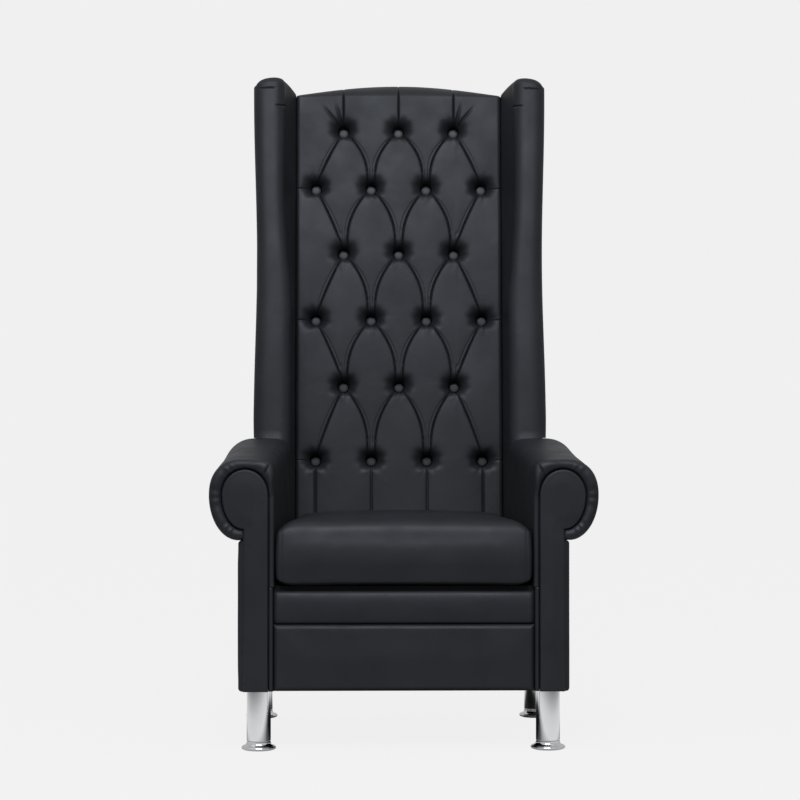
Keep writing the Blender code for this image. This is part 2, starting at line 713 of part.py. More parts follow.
def build_back_frame():
    lowest = -(SEAT_BOTTOM - RAIL_BOTTOM) / cos(RECLINE) + PANEL_FACE * tan(RECLINE)
    post_back = POST_FACE + POST_DEPTH
    rail_half = POST_INNER - GAP
    for name, side in SIDES.items():
        low_x, high_x = sorted((side * POST_INNER, side * POST_OUTER))
        post = box((low_x, POST_FACE, lowest), (high_x, post_back, FRAME_TOP))
        lean(timber("back_post_" + name, post))
    top_rail = box((-rail_half, POST_FACE, FRAME_TOP - TOP_RAIL_HEIGHT), (rail_half, post_back, FRAME_TOP))
    lean(timber("back_top_rail", top_rail))
    back_rail = box((-rail_half, POST_FACE, lowest), (rail_half, post_back, lowest + RAIL_HEIGHT))
    lean(timber("base_back_rail", back_rail))
    board_foot = GAP + POST_FACE * tan(RECLINE)
    board = box((-BACK_HALF, BOARD_FACE, board_foot), (BACK_HALF, BOARD_FACE + BACK_BOARD, FRAME_TOP))
    lean(plywood("back_board", board))
    panel_foot = (BODY_BOTTOM - SEAT_BOTTOM) / cos(RECLINE) + BACK_REAR * tan(RECLINE)
    panel = box((-WING_OUTER, PANEL_FACE, panel_foot), (WING_OUTER, BACK_REAR, PANEL_TOP))
    round_edges(lean(leather("outside_back_panel", panel)), PANEL_EDGE)


build_legs()
build_base()
build_back_frame()
build_back_cushion()
build_buttons()
build_arms_and_wings()
build_front()
build_seat_cushion()
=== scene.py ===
"""Looks of the pedicure chair: padded leather, covered buttons, polished chrome, and the hidden frame.

Metres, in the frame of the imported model: +Z up, the sitter faces -Y, left is the sitter's left at +X.
"""

from math import cos, pi, radians, sin, tan

import bmesh
import bpy
import numpy as np
from mathutils import Matrix, Vector


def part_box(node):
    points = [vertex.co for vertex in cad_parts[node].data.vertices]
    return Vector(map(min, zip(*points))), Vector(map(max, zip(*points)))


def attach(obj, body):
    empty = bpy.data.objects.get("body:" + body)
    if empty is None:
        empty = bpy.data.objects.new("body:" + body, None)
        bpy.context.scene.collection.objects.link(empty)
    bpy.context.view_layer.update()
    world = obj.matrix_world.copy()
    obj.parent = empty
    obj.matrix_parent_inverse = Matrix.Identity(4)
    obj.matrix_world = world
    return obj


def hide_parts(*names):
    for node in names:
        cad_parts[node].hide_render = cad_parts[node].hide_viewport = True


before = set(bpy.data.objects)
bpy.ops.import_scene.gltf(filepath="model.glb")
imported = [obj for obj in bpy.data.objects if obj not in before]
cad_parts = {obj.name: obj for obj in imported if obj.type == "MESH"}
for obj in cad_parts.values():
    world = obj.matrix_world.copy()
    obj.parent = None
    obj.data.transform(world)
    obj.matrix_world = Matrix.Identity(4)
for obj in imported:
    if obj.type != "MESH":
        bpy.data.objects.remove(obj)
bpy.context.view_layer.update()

# Places read from the frame
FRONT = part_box("seat_cushion")[0].y
SEAT_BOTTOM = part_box("seat_cushion")[0].z
BODY_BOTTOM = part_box("front_panel")[0].z
ROLL_BOTTOM, ROLL_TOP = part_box("seat_roll")[0].z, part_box("seat_roll")[1].z
PANEL_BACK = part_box("front_panel")[1].y
ARM_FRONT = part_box("side_board_left")[0].y
BOARD_INNER, BOARD_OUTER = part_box("side_board_left")[0].x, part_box("side_board_left")[1].x
SIDE_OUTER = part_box("side_panel_left")[1].x
SCROLL_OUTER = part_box("arm_pad_left")[1].x
WING_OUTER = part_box("wing_pad_left")[1].x
WING_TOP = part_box("wing_pad_left")[1].z
BACK_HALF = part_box("back_board")[1].x

# Sizes shared with the CAD part
GAP = 0.0003
RECLINE = radians(5.0)
SEAT_DEPTH = 0.488
SEAT_FRONT_WIDTH = 0.536
SEAT_BACK_WIDTH = 0.477
CUSHION_THICKNESS = 0.128
CUSHION_CROWN = 0.016
SCROLL_ABOVE_DECK = 0.1885
SCROLL_RISE = 0.074
SCROLL_TUCK = 0.093
ARM_CLIMB = 0.030
BOARD_INTO_SCROLL = 0.015
FACING_INSET_TOP = 0.026
FACING_INSET_INNER = 0.010
FACING_INSET_OUTER = 0.011
FACING_THICKNESS = 0.012
BACK_LENGTH = 1.138
BACK_ARCH = 0.030
BACK_PAD = 0.105
POST_FACE = 0.0126
PANEL_FACE = 0.0509
OUTSIDE_BACK = 0.015
TOP_ROLL = 0.045
PANEL_LIP = 0.012
WING_REACH = 0.115
WING_NOSE = 0.034
WING_FRONT_WIDTH = 0.068
WING_CAP = 0.035
TUFT_PITCH = 0.128
TUFT_FIRST_ROW = 0.246
TUFT_ROW_STEPS = (0.171, 0.155, 0.155, 0.153, 0.135)
BUTTON_DEPTH = 0.048
BUTTON_DIAMETER = 0.024
LEG_DIAMETER = 0.050
FOOT_DIAMETER = 0.072
FOOT_HEIGHT = 0.018
FOOT_RIM = 0.011
STUD_DIAMETER = 0.010
STUD_LENGTH = 0.035
STUD_PITCH = 0.0015
PLATE_THICKNESS = 0.0045

SCROLL_HEIGHT = SEAT_BOTTOM + SCROLL_ABOVE_DECK
ARM_INNER_FRONT = SEAT_FRONT_WIDTH / 2
ARM_INNER_BACK = SEAT_BACK_WIDTH / 2
BACK_FOOT_Y = FRONT + SEAT_DEPTH + BACK_PAD / cos(RECLINE)
FRAME_TOP = BACK_LENGTH - TOP_ROLL
BOARD_TOP = WING_TOP - WING_CAP
TUFT_ROWS = TUFT_FIRST_ROW + np.cumsum((0.0,) + TUFT_ROW_STEPS)

SIDES = {"left": 1, "right": -1}

# Two waves of unevenness: pace, sway, pace of the sway across it, and phase
RIPPLE_WAVES = ((1.0, 1.7, 0.6, 0.4), (0.8, 1.3, 0.5, 2.1))


def ease(t):
    """A smooth step from 0 to 1."""
    t = np.clip(t, 0.0, 1.0)
    return t * t * (3.0 - 2.0 * t)


def valley(distance, width):
    """The section of a rounded groove: 1 on its line, fading to 0 beyond its width."""
    return np.exp(-(distance / width) ** 2)


def spread(marks, counts):
    """Values running through the marks in order, with a count of steps between each pair."""
    runs = [np.linspace(a, b, n, endpoint=False) for a, b, n in zip(marks, marks[1:], counts)]
    return np.concatenate(runs + [[marks[-1]]])


def along(path, count):
    """Points spaced evenly by length along a path of 2D points."""
    path = np.asarray(path, dtype=float)
    lengths = np.concatenate([[0.0], np.cumsum(np.hypot(*np.diff(path, axis=0).T))])
    marks = np.linspace(0.0, lengths[-1], count)
    return np.stack([np.interp(marks, lengths, path[:, i]) for i in (0, 1)], axis=-1)


def arc(centre, reach, start, end, steps):
    """Points on an ellipse from one angle to another, in degrees, both ends included."""
    angles = np.radians(np.linspace(start, end, steps + 1))
    return [(centre[0] + reach[0] * cos(a), centre[1] + reach[1] * sin(a)) for a in angles]


def outline_distance(u, v, outline):
    """The distance of each point to the nearest edge of a closed outline."""
    outline = np.asarray(outline)
    nearest = np.full(np.shape(u), np.inf)
    for (au, av), (bu, bv) in zip(outline, np.roll(outline, -1, axis=0)):
        du, dv = bu - au, bv - av
        length = du * du + dv * dv
        if length > 0.0:
            share = np.clip(((u - au) * du + (v - av) * dv) / length, 0.0, 1.0)
            nearest = np.minimum(nearest, np.hypot(u - au - share * du, v - av - share * dv))
    return nearest


def rounded(distance, radius):
    """How far a rounded edge falls back at a distance in from the edge."""
    short = np.clip(radius - distance, 0.0, radius)
    return radius - np.sqrt(radius * radius - short * short)


def ripple(u, v, height, wavelength):
    """Slow unevenness of hand-stretched leather, up to a height each way."""
    k = 2.0 * pi / wavelength
    total = 0.0
    for (pace, sway, cross_pace, phase), (main, cross) in zip(RIPPLE_WAVES, ((u, v), (v, u))):
        total = total + np.sin(pace * k * main + sway * np.sin(cross_pace * k * cross + phase))
    return height * total / len(RIPPLE_WAVES)


def back_plane(z, layer):
    """The y of a layer of the leaning back at a height above the floor."""
    return BACK_FOOT_Y + layer / cos(RECLINE) + (z - SEAT_BOTTOM) * tan(RECLINE)


def leaned(x, depth, height):
    """Points of the back, given across, behind the cushion's back and along the lean, in the frame."""
    y = BACK_FOOT_Y + depth * cos(RECLINE) + height * sin(RECLINE)
    z = SEAT_BOTTOM - depth * sin(RECLINE) + height * cos(RECLINE)
    return np.stack(np.broadcast_arrays(x, y, z), axis=-1)


def new_object(name, points, faces, sharp=50):
    """A smooth-shaded mesh object with outward normals and its edges sharp above an angle."""
    mesh = bpy.data.meshes.new(name)
    mesh.from_pydata(points, [], faces)
    bm = bmesh.new()
    bm.from_mesh(mesh)
    bmesh.ops.recalc_face_normals(bm, faces=bm.faces[:])
    bm.to_mesh(mesh)
    bm.free()
    mesh.shade_smooth()
    mesh.set_sharp_from_angle(angle=radians(sharp))
    piece = bpy.data.objects.new(name, mesh)
    bpy.context.scene.collection.objects.link(piece)
    return piece


def quads(index):
    """The faces of a grid of point numbers."""
    corners = (index[:-1, :-1], index[:-1, 1:], index[1:, 1:], index[1:, :-1])
    return np.stack(corners, axis=-1).reshape(-1, 4).tolist()


def shell(name, outer, inner, sharp=50):
    """A closed solid between two sheets of points laid out alike, joined along their four edges."""
    levels, columns = outer.shape[:2]
    index = np.arange(2 * levels * columns).reshape(2, levels, columns)
    near, far = index
    faces = quads(near) + quads(far[:, ::-1])
    for edge, other in ((near[0], far[0]), (near[-1], far[-1]), (near[:, 0], far[:, 0]),
                        (near[:, -1], far[:, -1])):
        faces += quads(np.stack([edge, other]))
    points = np.concatenate([outer.reshape(-1, 3), inner.reshape(-1, 3)])
    return new_object(name, points.tolist(), faces, sharp)


def revolved(name, profile, place, sides, sharp=35):
    """A profile of (radius, height) points turned about a vertical axis, its ends on the axis."""
    angles = np.linspace(0.0, 2.0 * pi, sides, endpoint=False)
    rings = profile[1:-1]
    points = [(0.0, 0.0, profile[0][1])]
    for radius, z in rings:
        points += [(radius * cos(a), radius * sin(a), z) for a in angles]
    points.append((0.0, 0.0, profile[-1][1]))
    index = 1 + np.arange(len(rings) * sides).reshape(len(rings), sides)
    faces = quads(np.concatenate([index, index[:, :1]], axis=1))
    for ring, pole in ((index[0], 0), (index[-1], len(points) - 1)):
        faces += [(pole, int(a), int(b)) for a, b in zip(ring, np.roll(ring, -1))]
    piece = new_object(name, points, faces, sharp)
    piece.data.transform(Matrix.Translation(place))
    return piece


def feed(tree, node, inputs):
    """Give a node's inputs their constant values, or link them to the outputs named instead."""
    for key, value in inputs.items():
        if isinstance(value, bpy.types.NodeSocket):
            tree.links.new(value, node.inputs[key])
        else:
            node.inputs[key].default_value = value


def add(tree, kind, inputs=None, **settings):
    """A new node with its settings and its inputs."""
    made = tree.nodes.new(kind)
    for key, value in settings.items():
        setattr(made, key, value)
    feed(tree, made, inputs or {})
    return made


def combined(tree, operation, *values, **settings):
    """The result of arithmetic on values."""
    return add(tree, "ShaderNodeMath", dict(enumerate(values)), operation=operation, **settings).outputs[0]


def new_material(name):
    """A material with its node tree, its Principled shader and the object's own coordinates."""
    made = bpy.data.materials.new(name)
    made.use_nodes = True
    tree = made.node_tree
    place = add(tree, "ShaderNodeTexCoord").outputs["Object"]
    return made, tree, tree.nodes["Principled BSDF"], place


def ranged(tree, source, old, new):
    """A value mapped from one range onto another, held at its ends."""
    return add(tree, "ShaderNodeMapRange", {
        "Value": source, "From Min": old[0], "From Max": old[1], "To Min": new[0], "To Max": new[1],
    }).outputs["Result"]


def blended(tree, factor, first, second):
    """A colour between two colours."""
    return add(tree, "ShaderNodeMix", {"A": (*first, 1.0), "B": (*second, 1.0), "Factor": factor},
               data_type="RGBA").outputs["Result"]


def noise(tree, place, scale, detail=2.0, distortion=0.0):
    """Cloudy noise, mostly between 0.3 and 0.7."""
    return add(tree, "ShaderNodeTexNoise", {
        "Vector": place, "Scale": scale, "Detail": detail, "Distortion": distortion,
    }).outputs["Fac"]


def bumped(tree, height, strength, distance, after=None):
    """A bump from a height, on top of an earlier bump."""
    made = add(tree, "ShaderNodeBump", {"Height": height, "Strength": strength, "Distance": distance})
    if after is not None:
        feed(tree, made, {"Normal": after})
    return made.outputs["Normal"]


def stretched(tree, place, scale):
    """Coordinates scaled unevenly, for a grain that runs one way."""
    return add(tree, "ShaderNodeMapping", {"Vector": place, "Scale": scale}).outputs["Vector"]


# Finishes
WHITE = (1.0, 1.0, 1.0, 1.0)
MOST = (0.3, 0.7)
WHOLE = (0.0, 1.0)
RIDGES = (0.51, 0.58)
LEATHER_SPECULAR = 0.27
LEATHER_TINT = (0.90, 0.94, 1.0, 1.0)
LEATHER_DARK = (0.0120, 0.0124, 0.0148)
LEATHER_LIGHT = (0.0215, 0.0222, 0.0256)
LEATHER_ROUGHNESS = (0.45, 0.56)
# Buttons: a lighter copy of the black leather; the lighter colour is a painted highlight standing in for
# the light the domes catch
BUTTON_PAINTED_LIT_DARK = (0.034, 0.035, 0.038)
BUTTON_PAINTED_LIT_LIGHT = (0.050, 0.051, 0.054)
BUTTON_ROUGHNESS = (0.37, 0.48)
CHROME_DARK = (0.74, 0.75, 0.77)
CHROME_LIGHT = (0.84, 0.85, 0.86)
CHROME_ROUGHNESS = (0.035, 0.085)
TIMBER_DARK = (0.30, 0.185, 0.095)
TIMBER_LIGHT = (0.50, 0.34, 0.19)
TIMBER_GRAIN = (3.0, 30.0, 30.0)
PLY_DARK = (0.38, 0.25, 0.135)
PLY_LIGHT = (0.64, 0.48, 0.30)
PLY_GRAIN = (40.0, 40.0, 4.0)
PLY_LAYERS = 60.0
CLOTH_DARK = (0.012, 0.012, 0.013)
CLOTH_LIGHT = (0.035, 0.035, 0.037)


def leather_material(name, dark, light, roughness):
    """Smooth black upholstery leather: fine pebble grain, soft creases, worn and polished ridges."""
    made, tree, shader, place = new_material(name)
    mottle = ranged(tree, noise(tree, place, 9.0, 4.0, 0.6), MOST, (0.1, 0.6))
    ridge = add(tree, "ShaderNodeNewGeometry").outputs["Pointiness"]
    wear = ranged(tree, ridge, RIDGES, (0.0, 0.6))
    tone = combined(tree, "ADD", mottle, wear, use_clamp=True)
    pebbles = add(tree, "ShaderNodeTexVoronoi", {"Vector": place, "Scale": 620.0, "Randomness": 1.0},
                  feature="DISTANCE_TO_EDGE")
    grain = ranged(tree, pebbles.outputs["Distance"], (0.0, 0.28), WHOLE)
    creases = bumped(tree, noise(tree, place, 46.0, 3.0, 0.4), 0.22, 0.0016)
    feed(tree, shader, {
        "Base Color": blended(tree, tone, dark, light),
        "Roughness": ranged(tree, noise(tree, place, 16.0, 3.0), MOST, roughness),
        "Normal": bumped(tree, grain, 0.16, 0.00025, creases),
        "Specular IOR Level": LEATHER_SPECULAR,
        "Specular Tint": LEATHER_TINT,
    })
    return made


def chrome_material():
    """Polished chrome plate with faint rubbing marks."""
    made, tree, shader, place = new_material("polished_chrome")
    rubbed = noise(tree, stretched(tree, place, (60.0, 60.0, 900.0)), 1.0, 3.0)
    cloudy = noise(tree, place, 14.0, 3.0)
    feed(tree, shader, {
        "Metallic": 1.0,
        "Base Color": blended(tree, ranged(tree, cloudy, MOST, WHOLE), CHROME_DARK, CHROME_LIGHT),
        "Roughness": ranged(tree, cloudy, (0.3, 0.75), CHROME_ROUGHNESS),
        "Normal": bumped(tree, rubbed, 0.03, 0.0002),
    })
    return made


def timber_material():
    """Plain sawn wood whose grain runs along one axis."""
    made, tree, shader, place = new_material("frame_timber")
    figure = noise(tree, stretched(tree, place, TIMBER_GRAIN), 1.0, 6.0, 1.2)
    feed(tree, shader, {
        "Base Color": blended(tree, ranged(tree, figure, (0.35, 0.65), WHOLE), TIMBER_DARK, TIMBER_LIGHT),
        "Roughness": ranged(tree, figure, MOST, (0.55, 0.75)),
        "Normal": bumped(tree, figure, 0.25, 0.0006),
    })
    return made


def plywood_material():
    """Plywood: a pale face with grain up it, and darker glue lines through its thickness."""
    made, tree, shader, place = new_material("birch_plywood")
    figure = noise(tree, stretched(tree, place, PLY_GRAIN), 1.0, 6.0, 1.0)
    layers = add(tree, "ShaderNodeTexWave", {"Vector": place, "Scale": PLY_LAYERS}, bands_direction="X")
    glue = ranged(tree, layers.outputs["Fac"], WHOLE, (0.05, 0.3))
    mixed = combined(tree, "MULTIPLY_ADD", figure, 0.6, glue)
    feed(tree, shader, {
        "Base Color": blended(tree, mixed, PLY_DARK, PLY_LIGHT),
        "Roughness": 0.65,
        "Normal": bumped(tree, figure, 0.2, 0.0005),
    })
    return made


def dust_cloth_material():
    """Thin black non-woven cloth with pressed dots."""
    made, tree, shader, place = new_material("non_woven_cloth")
    fibres = noise(tree, place, 240.0, 6.0, 1.5)
    dots = add(tree, "ShaderNodeTexVoronoi", {"Vector": place, "Scale": 320.0, "Randomness": 0.15})
    pressed = bumped(tree, dots.outputs["Distance"], 0.3, 0.0004)
    feed(tree, shader, {
        "Base Color": blended(tree, fibres, CLOTH_DARK, CLOTH_LIGHT),
        "Roughness": 0.95,
        "Normal": bumped(tree, fibres, 0.4, 0.0003, pressed),
        "Specular IOR Level": 0.2,
    })
    return made


BLACK_LEATHER = leather_material("black_leather", LEATHER_DARK, LEATHER_LIGHT, LEATHER_ROUGHNESS)
# The buttons' leather is the black leather painted lighter, a painted highlight
BUTTON_LEATHER_PAINTED_LIT = leather_material("button_leather", BUTTON_PAINTED_LIT_DARK, BUTTON_PAINTED_LIT_LIGHT, BUTTON_ROUGHNESS)
CHROME = chrome_material()
TIMBER = timber_material()
PLYWOOD = plywood_material()
DUST_CLOTH = dust_cloth_material()


def dress(piece, material, nodes, body="chair"):
    """Give a piece its material and its place in the model: what it stands for and what it rides on."""
    piece.data.materials.clear()
    piece.data.materials.append(material)
    if nodes:
        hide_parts(*nodes)
    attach(piece, body)
    return piece


def upholster(piece, nodes, body="chair"):
    """Dress a padded piece in black leather."""
    dress(piece, BLACK_LEATHER, nodes, body)
    return piece


# Tufting of the back
PLEAT_SWEEP = 2.3
PLEAT_OUTER_SWEEP = 1.2
PLEAT_OUTER = (0.98, 0.10)
PLEAT_BESIDE = 0.17
PLEAT_LEAVES = 0.06
PLEAT_DEPTH = 0.0042
PLEAT_STEEP = 0.0012
PLEAT_GENTLE = 0.0017
FLAP_WIDTH = 0.0070
FLAP_LINE_DEPTH = 0.0010
FLAP_LINE_WIDTH = 0.0012
FLAP_FADE = 0.003
SLOPE_STEP = 0.0004
FOLD_DEPTH = 0.0045
FOLD_WIDTH = 0.0030
FOLD_FAN = ((radians(40.0), 0.085), (radians(16.0), 0.075))
FOLD_START = 0.010
FOLD_FADE_IN = 0.012
FOLD_FADE_OUT = 0.6
CHANNEL_DEPTH = 0.0044
CELL_FLATNESS = 0.28
TOP_CELL_START = 0.010
TOP_CELL_FADE = 0.070
TOP_CELL_OPEN = 0.85
DIMPLE_BELOW = 0.01116
DIMPLE_ASIDE = 0.00684
DIMPLE_ABOVE = 0.0036
DIMPLE_LIP = 0.004
BUTTON_RISE = 0.0105
PUCKER_HEIGHT = 0.0005
PUCKER_COUNT = 9
PUCKER_RADIUS = 0.027
PUCKER_WIDTH = 0.009
SIDE_PLEAT_DEPTH = 0.007
SIDE_PLEAT_BLEND = 0.006
TOP_NOTCH = 0.15
BACK_EDGE_ROLL = 0.010
BACK_EDGE_THIN = 0.009
BACK_RIPPLE = (0.0006, 0.19)
BACK_STEP = 0.0015
TOP_STEPS = 33
TOP_REAR_STEPS = 11
DOME_STEPS = 18
DOME_FLATNESS = 0.9
BUTTON_SIDES = 40
BUTTON_TUCK = (0.96, 0.0008)
BUTTON_COVERS = 0.96


def button_places():
    """Where the buttons sit, across and along the back, lowest row first, four and three in turn."""
    places = []
    for row, height in enumerate(TUFT_ROWS):
        count = 4 if row % 2 == 0 else 3
        places += [(TUFT_PITCH * (i - (count - 1) / 2), height) for i in range(count)]
    return places


def rows_passed(x, z):
    """How many rows of buttons lie below a height, and the share of the way from one row to the next.

    Going down, a pleat leaves a button slantwise and comes down beside the next one, so the count
    between two rows is drawn out. The outermost pleats run nearly straight.
    """
    starts, blend = PLEAT_OUTER
    outer = ease((np.abs(x) / TUFT_PITCH - starts) / blend)
    sweep = PLEAT_SWEEP + (PLEAT_OUTER_SWEEP - PLEAT_SWEEP) * outer
    inside = np.clip(z, TUFT_ROWS[0], TUFT_ROWS[-1])
    row = np.clip(np.searchsorted(TUFT_ROWS, inside, side="right") - 1, 0, len(TUFT_ROWS) - 2)
    share = (inside - TUFT_ROWS[row]) / np.diff(TUFT_ROWS)[row]
    beside = PLEAT_BESIDE * (1.0 - outer) * (1.0 - share) ** 2 * ease(share / PLEAT_LEAVES)
    return row + share ** sweep + beside, share


def pleat_lines(x, z):
    """For each family of curved pleats: distance, positive above the pleat, and fullness across a cell."""
    across = np.clip(x, -1.5 * TUFT_PITCH, 1.5 * TUFT_PITCH)
    count, share = rows_passed(across, z)
    above, below = rows_passed(across, z + SLOPE_STEP)[0], rows_passed(across, z - SLOPE_STEP)[0]
    slope = (above - below) / (2 * SLOPE_STEP)
    gradient = np.hypot(1.0 / TUFT_PITCH, slope / 2)
    flap = FLAP_WIDTH * np.sin(pi * share)
    lines = []
    for turn in (1, -1):
        phase = across / TUFT_PITCH + turn * count / 2 + 0.5
        distance = turn * (phase - np.round(phase)) / gradient
        lines.append((distance, np.abs(np.sin(pi * phase)), flap))
    return lines


def pleat_groove(distance, flap):
    """A fold: steep under the flap that lies over it, gentle below, and the flap's own fold line."""
    width = np.where(distance > 0.0, PLEAT_STEEP, PLEAT_GENTLE)
    fold = PLEAT_DEPTH * valley(distance, width)
    line = FLAP_LINE_DEPTH * valley(distance - flap, FLAP_LINE_WIDTH) * ease(flap / FLAP_FADE)
    return np.maximum(fold, line)


def tension_folds(x, z):
    """Soft folds that fan upwards and outwards from the outer buttons of the top row."""
    sunk = np.zeros(np.broadcast(x, z).shape)
    up = z - TUFT_ROWS[-1]
    for side in SIDES.values():
        out = side * x - TUFT_PITCH
        for lean, reach in FOLD_FAN:
            onward = out * sin(lean) + up * cos(lean)
            aside = out * cos(lean) - up * sin(lean)
            fade = ease((onward - FOLD_START) / FOLD_FADE_IN)
            fade = fade * ease((reach - onward) / (FOLD_FADE_OUT * reach))
            sunk = np.maximum(sunk, FOLD_DEPTH * valley(aside, FOLD_WIDTH) * fade)
    return sunk


def dimple_reach(angle):
    """The radius of the dimple round a button: wide to the sides and above, tight below."""
    above = np.clip(np.sin(angle), 0.0, 1.0)
    return DIMPLE_BELOW + DIMPLE_ASIDE * np.abs(np.cos(angle)) + DIMPLE_ABOVE * above


def back_thickness(x, z):
    """Thickness of the tufted cushion in front of the back board."""
    first, second = pleat_lines(x, z)
    fullness = (first[1] * second[1]) ** CELL_FLATNESS
    inner = 1.0 - ease((np.abs(x) - 1.5 * TUFT_PITCH) / SIDE_PLEAT_BLEND)
    groove = np.maximum(pleat_groove(first[0], first[2]), pleat_groove(second[0], second[2])) * inner
    open_top = 1.0 - TOP_CELL_OPEN * ease((z - TUFT_ROWS[-1] - TOP_CELL_START) / TOP_CELL_FADE)
    sunk = CHANNEL_DEPTH * (1.0 - fullness) * open_top + np.maximum(groove, tension_folds(x, z))
    for height in TUFT_ROWS[0::2]:
        width = np.where(z > height, PLEAT_STEEP, PLEAT_GENTLE)
        sunk = np.maximum(sunk, SIDE_PLEAT_DEPTH * valley(z - height, width) * (1.0 - inner))
    edge = np.clip(np.abs(x) - (BACK_HALF - BACK_EDGE_ROLL), 0.0, BACK_EDGE_ROLL) / BACK_EDGE_ROLL
    sunk = sunk + BACK_EDGE_THIN * (1.0 - np.sqrt(1.0 - np.minimum(edge, 0.999) ** 2))
    dimple_depth = BUTTON_DEPTH - CHANNEL_DEPTH - PLEAT_DEPTH
    seat = BACK_PAD - BUTTON_DEPTH
    thickness = BACK_PAD - sunk
    for number, (column, height) in enumerate(button_places()):
        away = np.hypot(x - column, z - height)
        angle = np.arctan2(z - height, x - column)
        pucker = PUCKER_HEIGHT * np.sin(PUCKER_COUNT * angle + number)
        pucker = pucker * valley(away - PUCKER_RADIUS, PUCKER_WIDTH)
        thickness = thickness - dimple_depth * valley(away, dimple_reach(angle)) + pucker
        under = ease((away - BUTTON_COVERS * BUTTON_DIAMETER / 2) / DIMPLE_LIP)
        thickness = seat + (np.maximum(thickness, seat) - seat) * under
    return thickness


def back_cushion():
    """The tufted cushion: a front sheet rolled over the top of the frame, and its back on the board."""
    x = np.linspace(-BACK_HALF, BACK_HALF, int(2 * BACK_HALF / BACK_STEP))[:, None]
    z = np.linspace(0.0, FRAME_TOP, int(FRAME_TOP / BACK_STEP))[None, :]
    thickness = back_thickness(x, z) + ripple(x, z, *BACK_RIPPLE)
    top = BACK_LENGTH - BACK_ARCH * (x / BACK_HALF) ** 2
    crest = BACK_PAD - thickness[:, -1:]
    top = top - TOP_NOTCH * np.clip(crest, 0.0, PLEAT_DEPTH)
    rear = PANEL_FACE - GAP
    low = FRAME_TOP + GAP
    rear_top = np.maximum(top - TOP_ROLL / 2, low + PANEL_LIP / 2)
    turn = np.radians(np.linspace(0.0, 90.0, TOP_STEPS + 1))[None, 1:]
    over = np.radians(np.linspace(90.0, 0.0, TOP_REAR_STEPS + 1))[None, 1:]
    front_roll = leaned(x, -thickness[:, -1:] * np.cos(turn), FRAME_TOP + (top - FRAME_TOP) * np.sin(turn))
    rear_roll = leaned(x, rear * np.cos(over), rear_top + (top - rear_top) * np.sin(over))
    foot = leaned(x, np.full_like(x, rear), np.full_like(x, low))
    outer = np.concatenate([leaned(x, -thickness, z), front_roll, rear_roll, foot], axis=1)
    extra = outer.shape[1] - z.shape[1]
    board = leaned(x, np.full_like(z, -GAP), np.linspace(0.0, low, z.shape[1])[None, :])
    ledge = leaned(x, np.linspace(-GAP, rear, extra + 2)[None, 1:-1], np.full((1, extra), low))
    piece = shell("back_cushion_leather", outer, np.concatenate([board, ledge], axis=1))
    upholster(piece, ["back_cushion"])


def tuft_buttons():
    """Covered buttons: a leather dome drawn tight over a shell, its rim tucked in, in a lighter copy of the
    black leather whose lighter colour is a painted highlight.
    """
    radius = BUTTON_DIAMETER / 2
    profile = [(0.0, BUTTON_RISE)]
    for turn in np.radians(np.linspace(3.0, 88.0, DOME_STEPS)):
        share = DOME_FLATNESS * cos(turn) ** 0.4 + (1.0 - DOME_FLATNESS) * cos(turn)
        profile.append((radius * sin(turn) ** 0.5, BUTTON_RISE * share))
    rim, tuck = BUTTON_TUCK
    profile += [(radius, tuck), (radius * rim, 0.0), (0.0, 0.0)]
    back = Matrix.Translation((0.0, BACK_FOOT_Y, SEAT_BOTTOM)) @ Matrix.Rotation(-RECLINE, 4, "X")
    seat = -(BACK_PAD - BUTTON_DEPTH) - GAP
    for number, (x, height) in enumerate(button_places(), 1):
        node = "tuft_button_%02d" % number
        piece = revolved(node + "_cover", profile, (0.0, 0.0, 0.0), BUTTON_SIDES)
        upright = Matrix.Rotation(pi / 2, 4, "X")
        piece.data.transform(back @ Matrix.Translation((x, seat, height)) @ upright)
        dress(piece, BUTTON_LEATHER_PAINTED_LIT, [node])


# Arms
BAND_STEPS = 14
BAND_BULGE = 0.92
ARM_LIFT = 0.012
ARM_SQUARENESS = 6.0
ARM_OUTER_SQUARENESS = 2.3
GATHER_HEIGHT = 0.0007
GATHER_SPACING = 9.0
GATHER_SWAY = (2.6, 0.23)
GATHER_FADE = 12.0
MITRE_DEPTH = 0.0035
MITRE_WIDTH = 1.4
BAND_HOLLOW = 0.004
SEAM_WIDTH = 0.0005
FACING_TRIM_INNER = 0.0025
FACING_TRIM_OUTER = 0.001
FACING_FULL_TOP = 0.005
FACING_TRIM_LOW = 0.012
FACING_INNER = ARM_INNER_FRONT + FACING_INSET_INNER + FACING_TRIM_INNER
FACING_OUTER = SCROLL_OUTER - FACING_INSET_TOP - FACING_TRIM_OUTER
FACING_NECK = SIDE_OUTER - FACING_INSET_OUTER
FACING_RISE = SCROLL_RISE - FACING_INSET_TOP + FACING_FULL_TOP
FACING_DROP = SCROLL_TUCK - FACING_INSET_OUTER - FACING_TRIM_LOW
FACING_ROUND = 0.0038
FACING_BULGE = 0.0016
FACING_NECK_ROWS = (6, 44)
FACING_UNDER_ROWS = 30
FACING_ROLL_ROWS = 40
FACING_TOP_ANGLE = 88.5
FACING_COLUMNS = 40
FACING_CLOSENESS = 1.35
ARM_RIPPLE = (0.0008, 0.21)
ARM_RIPPLE_FADE = 0.03
ARM_STEPS = 71
INNER_WALL_POINTS = 36
ROLL_POINTS = 72
UNDER_POINTS = 44


def arm_inner(y):
    """The inner wall narrows from the seat's front width to its back width, then runs straight."""
    bend = back_plane(SCROLL_HEIGHT, -BACK_PAD)
    share = np.clip((y - ARM_FRONT) / (bend - ARM_FRONT), 0.0, 1.0)
    return ARM_INNER_FRONT + (ARM_INNER_BACK - ARM_INNER_FRONT) * share


def wing_front(z):
    """The y of a wing's front edge at a height."""
    return back_plane(z, -BACK_PAD - WING_REACH)


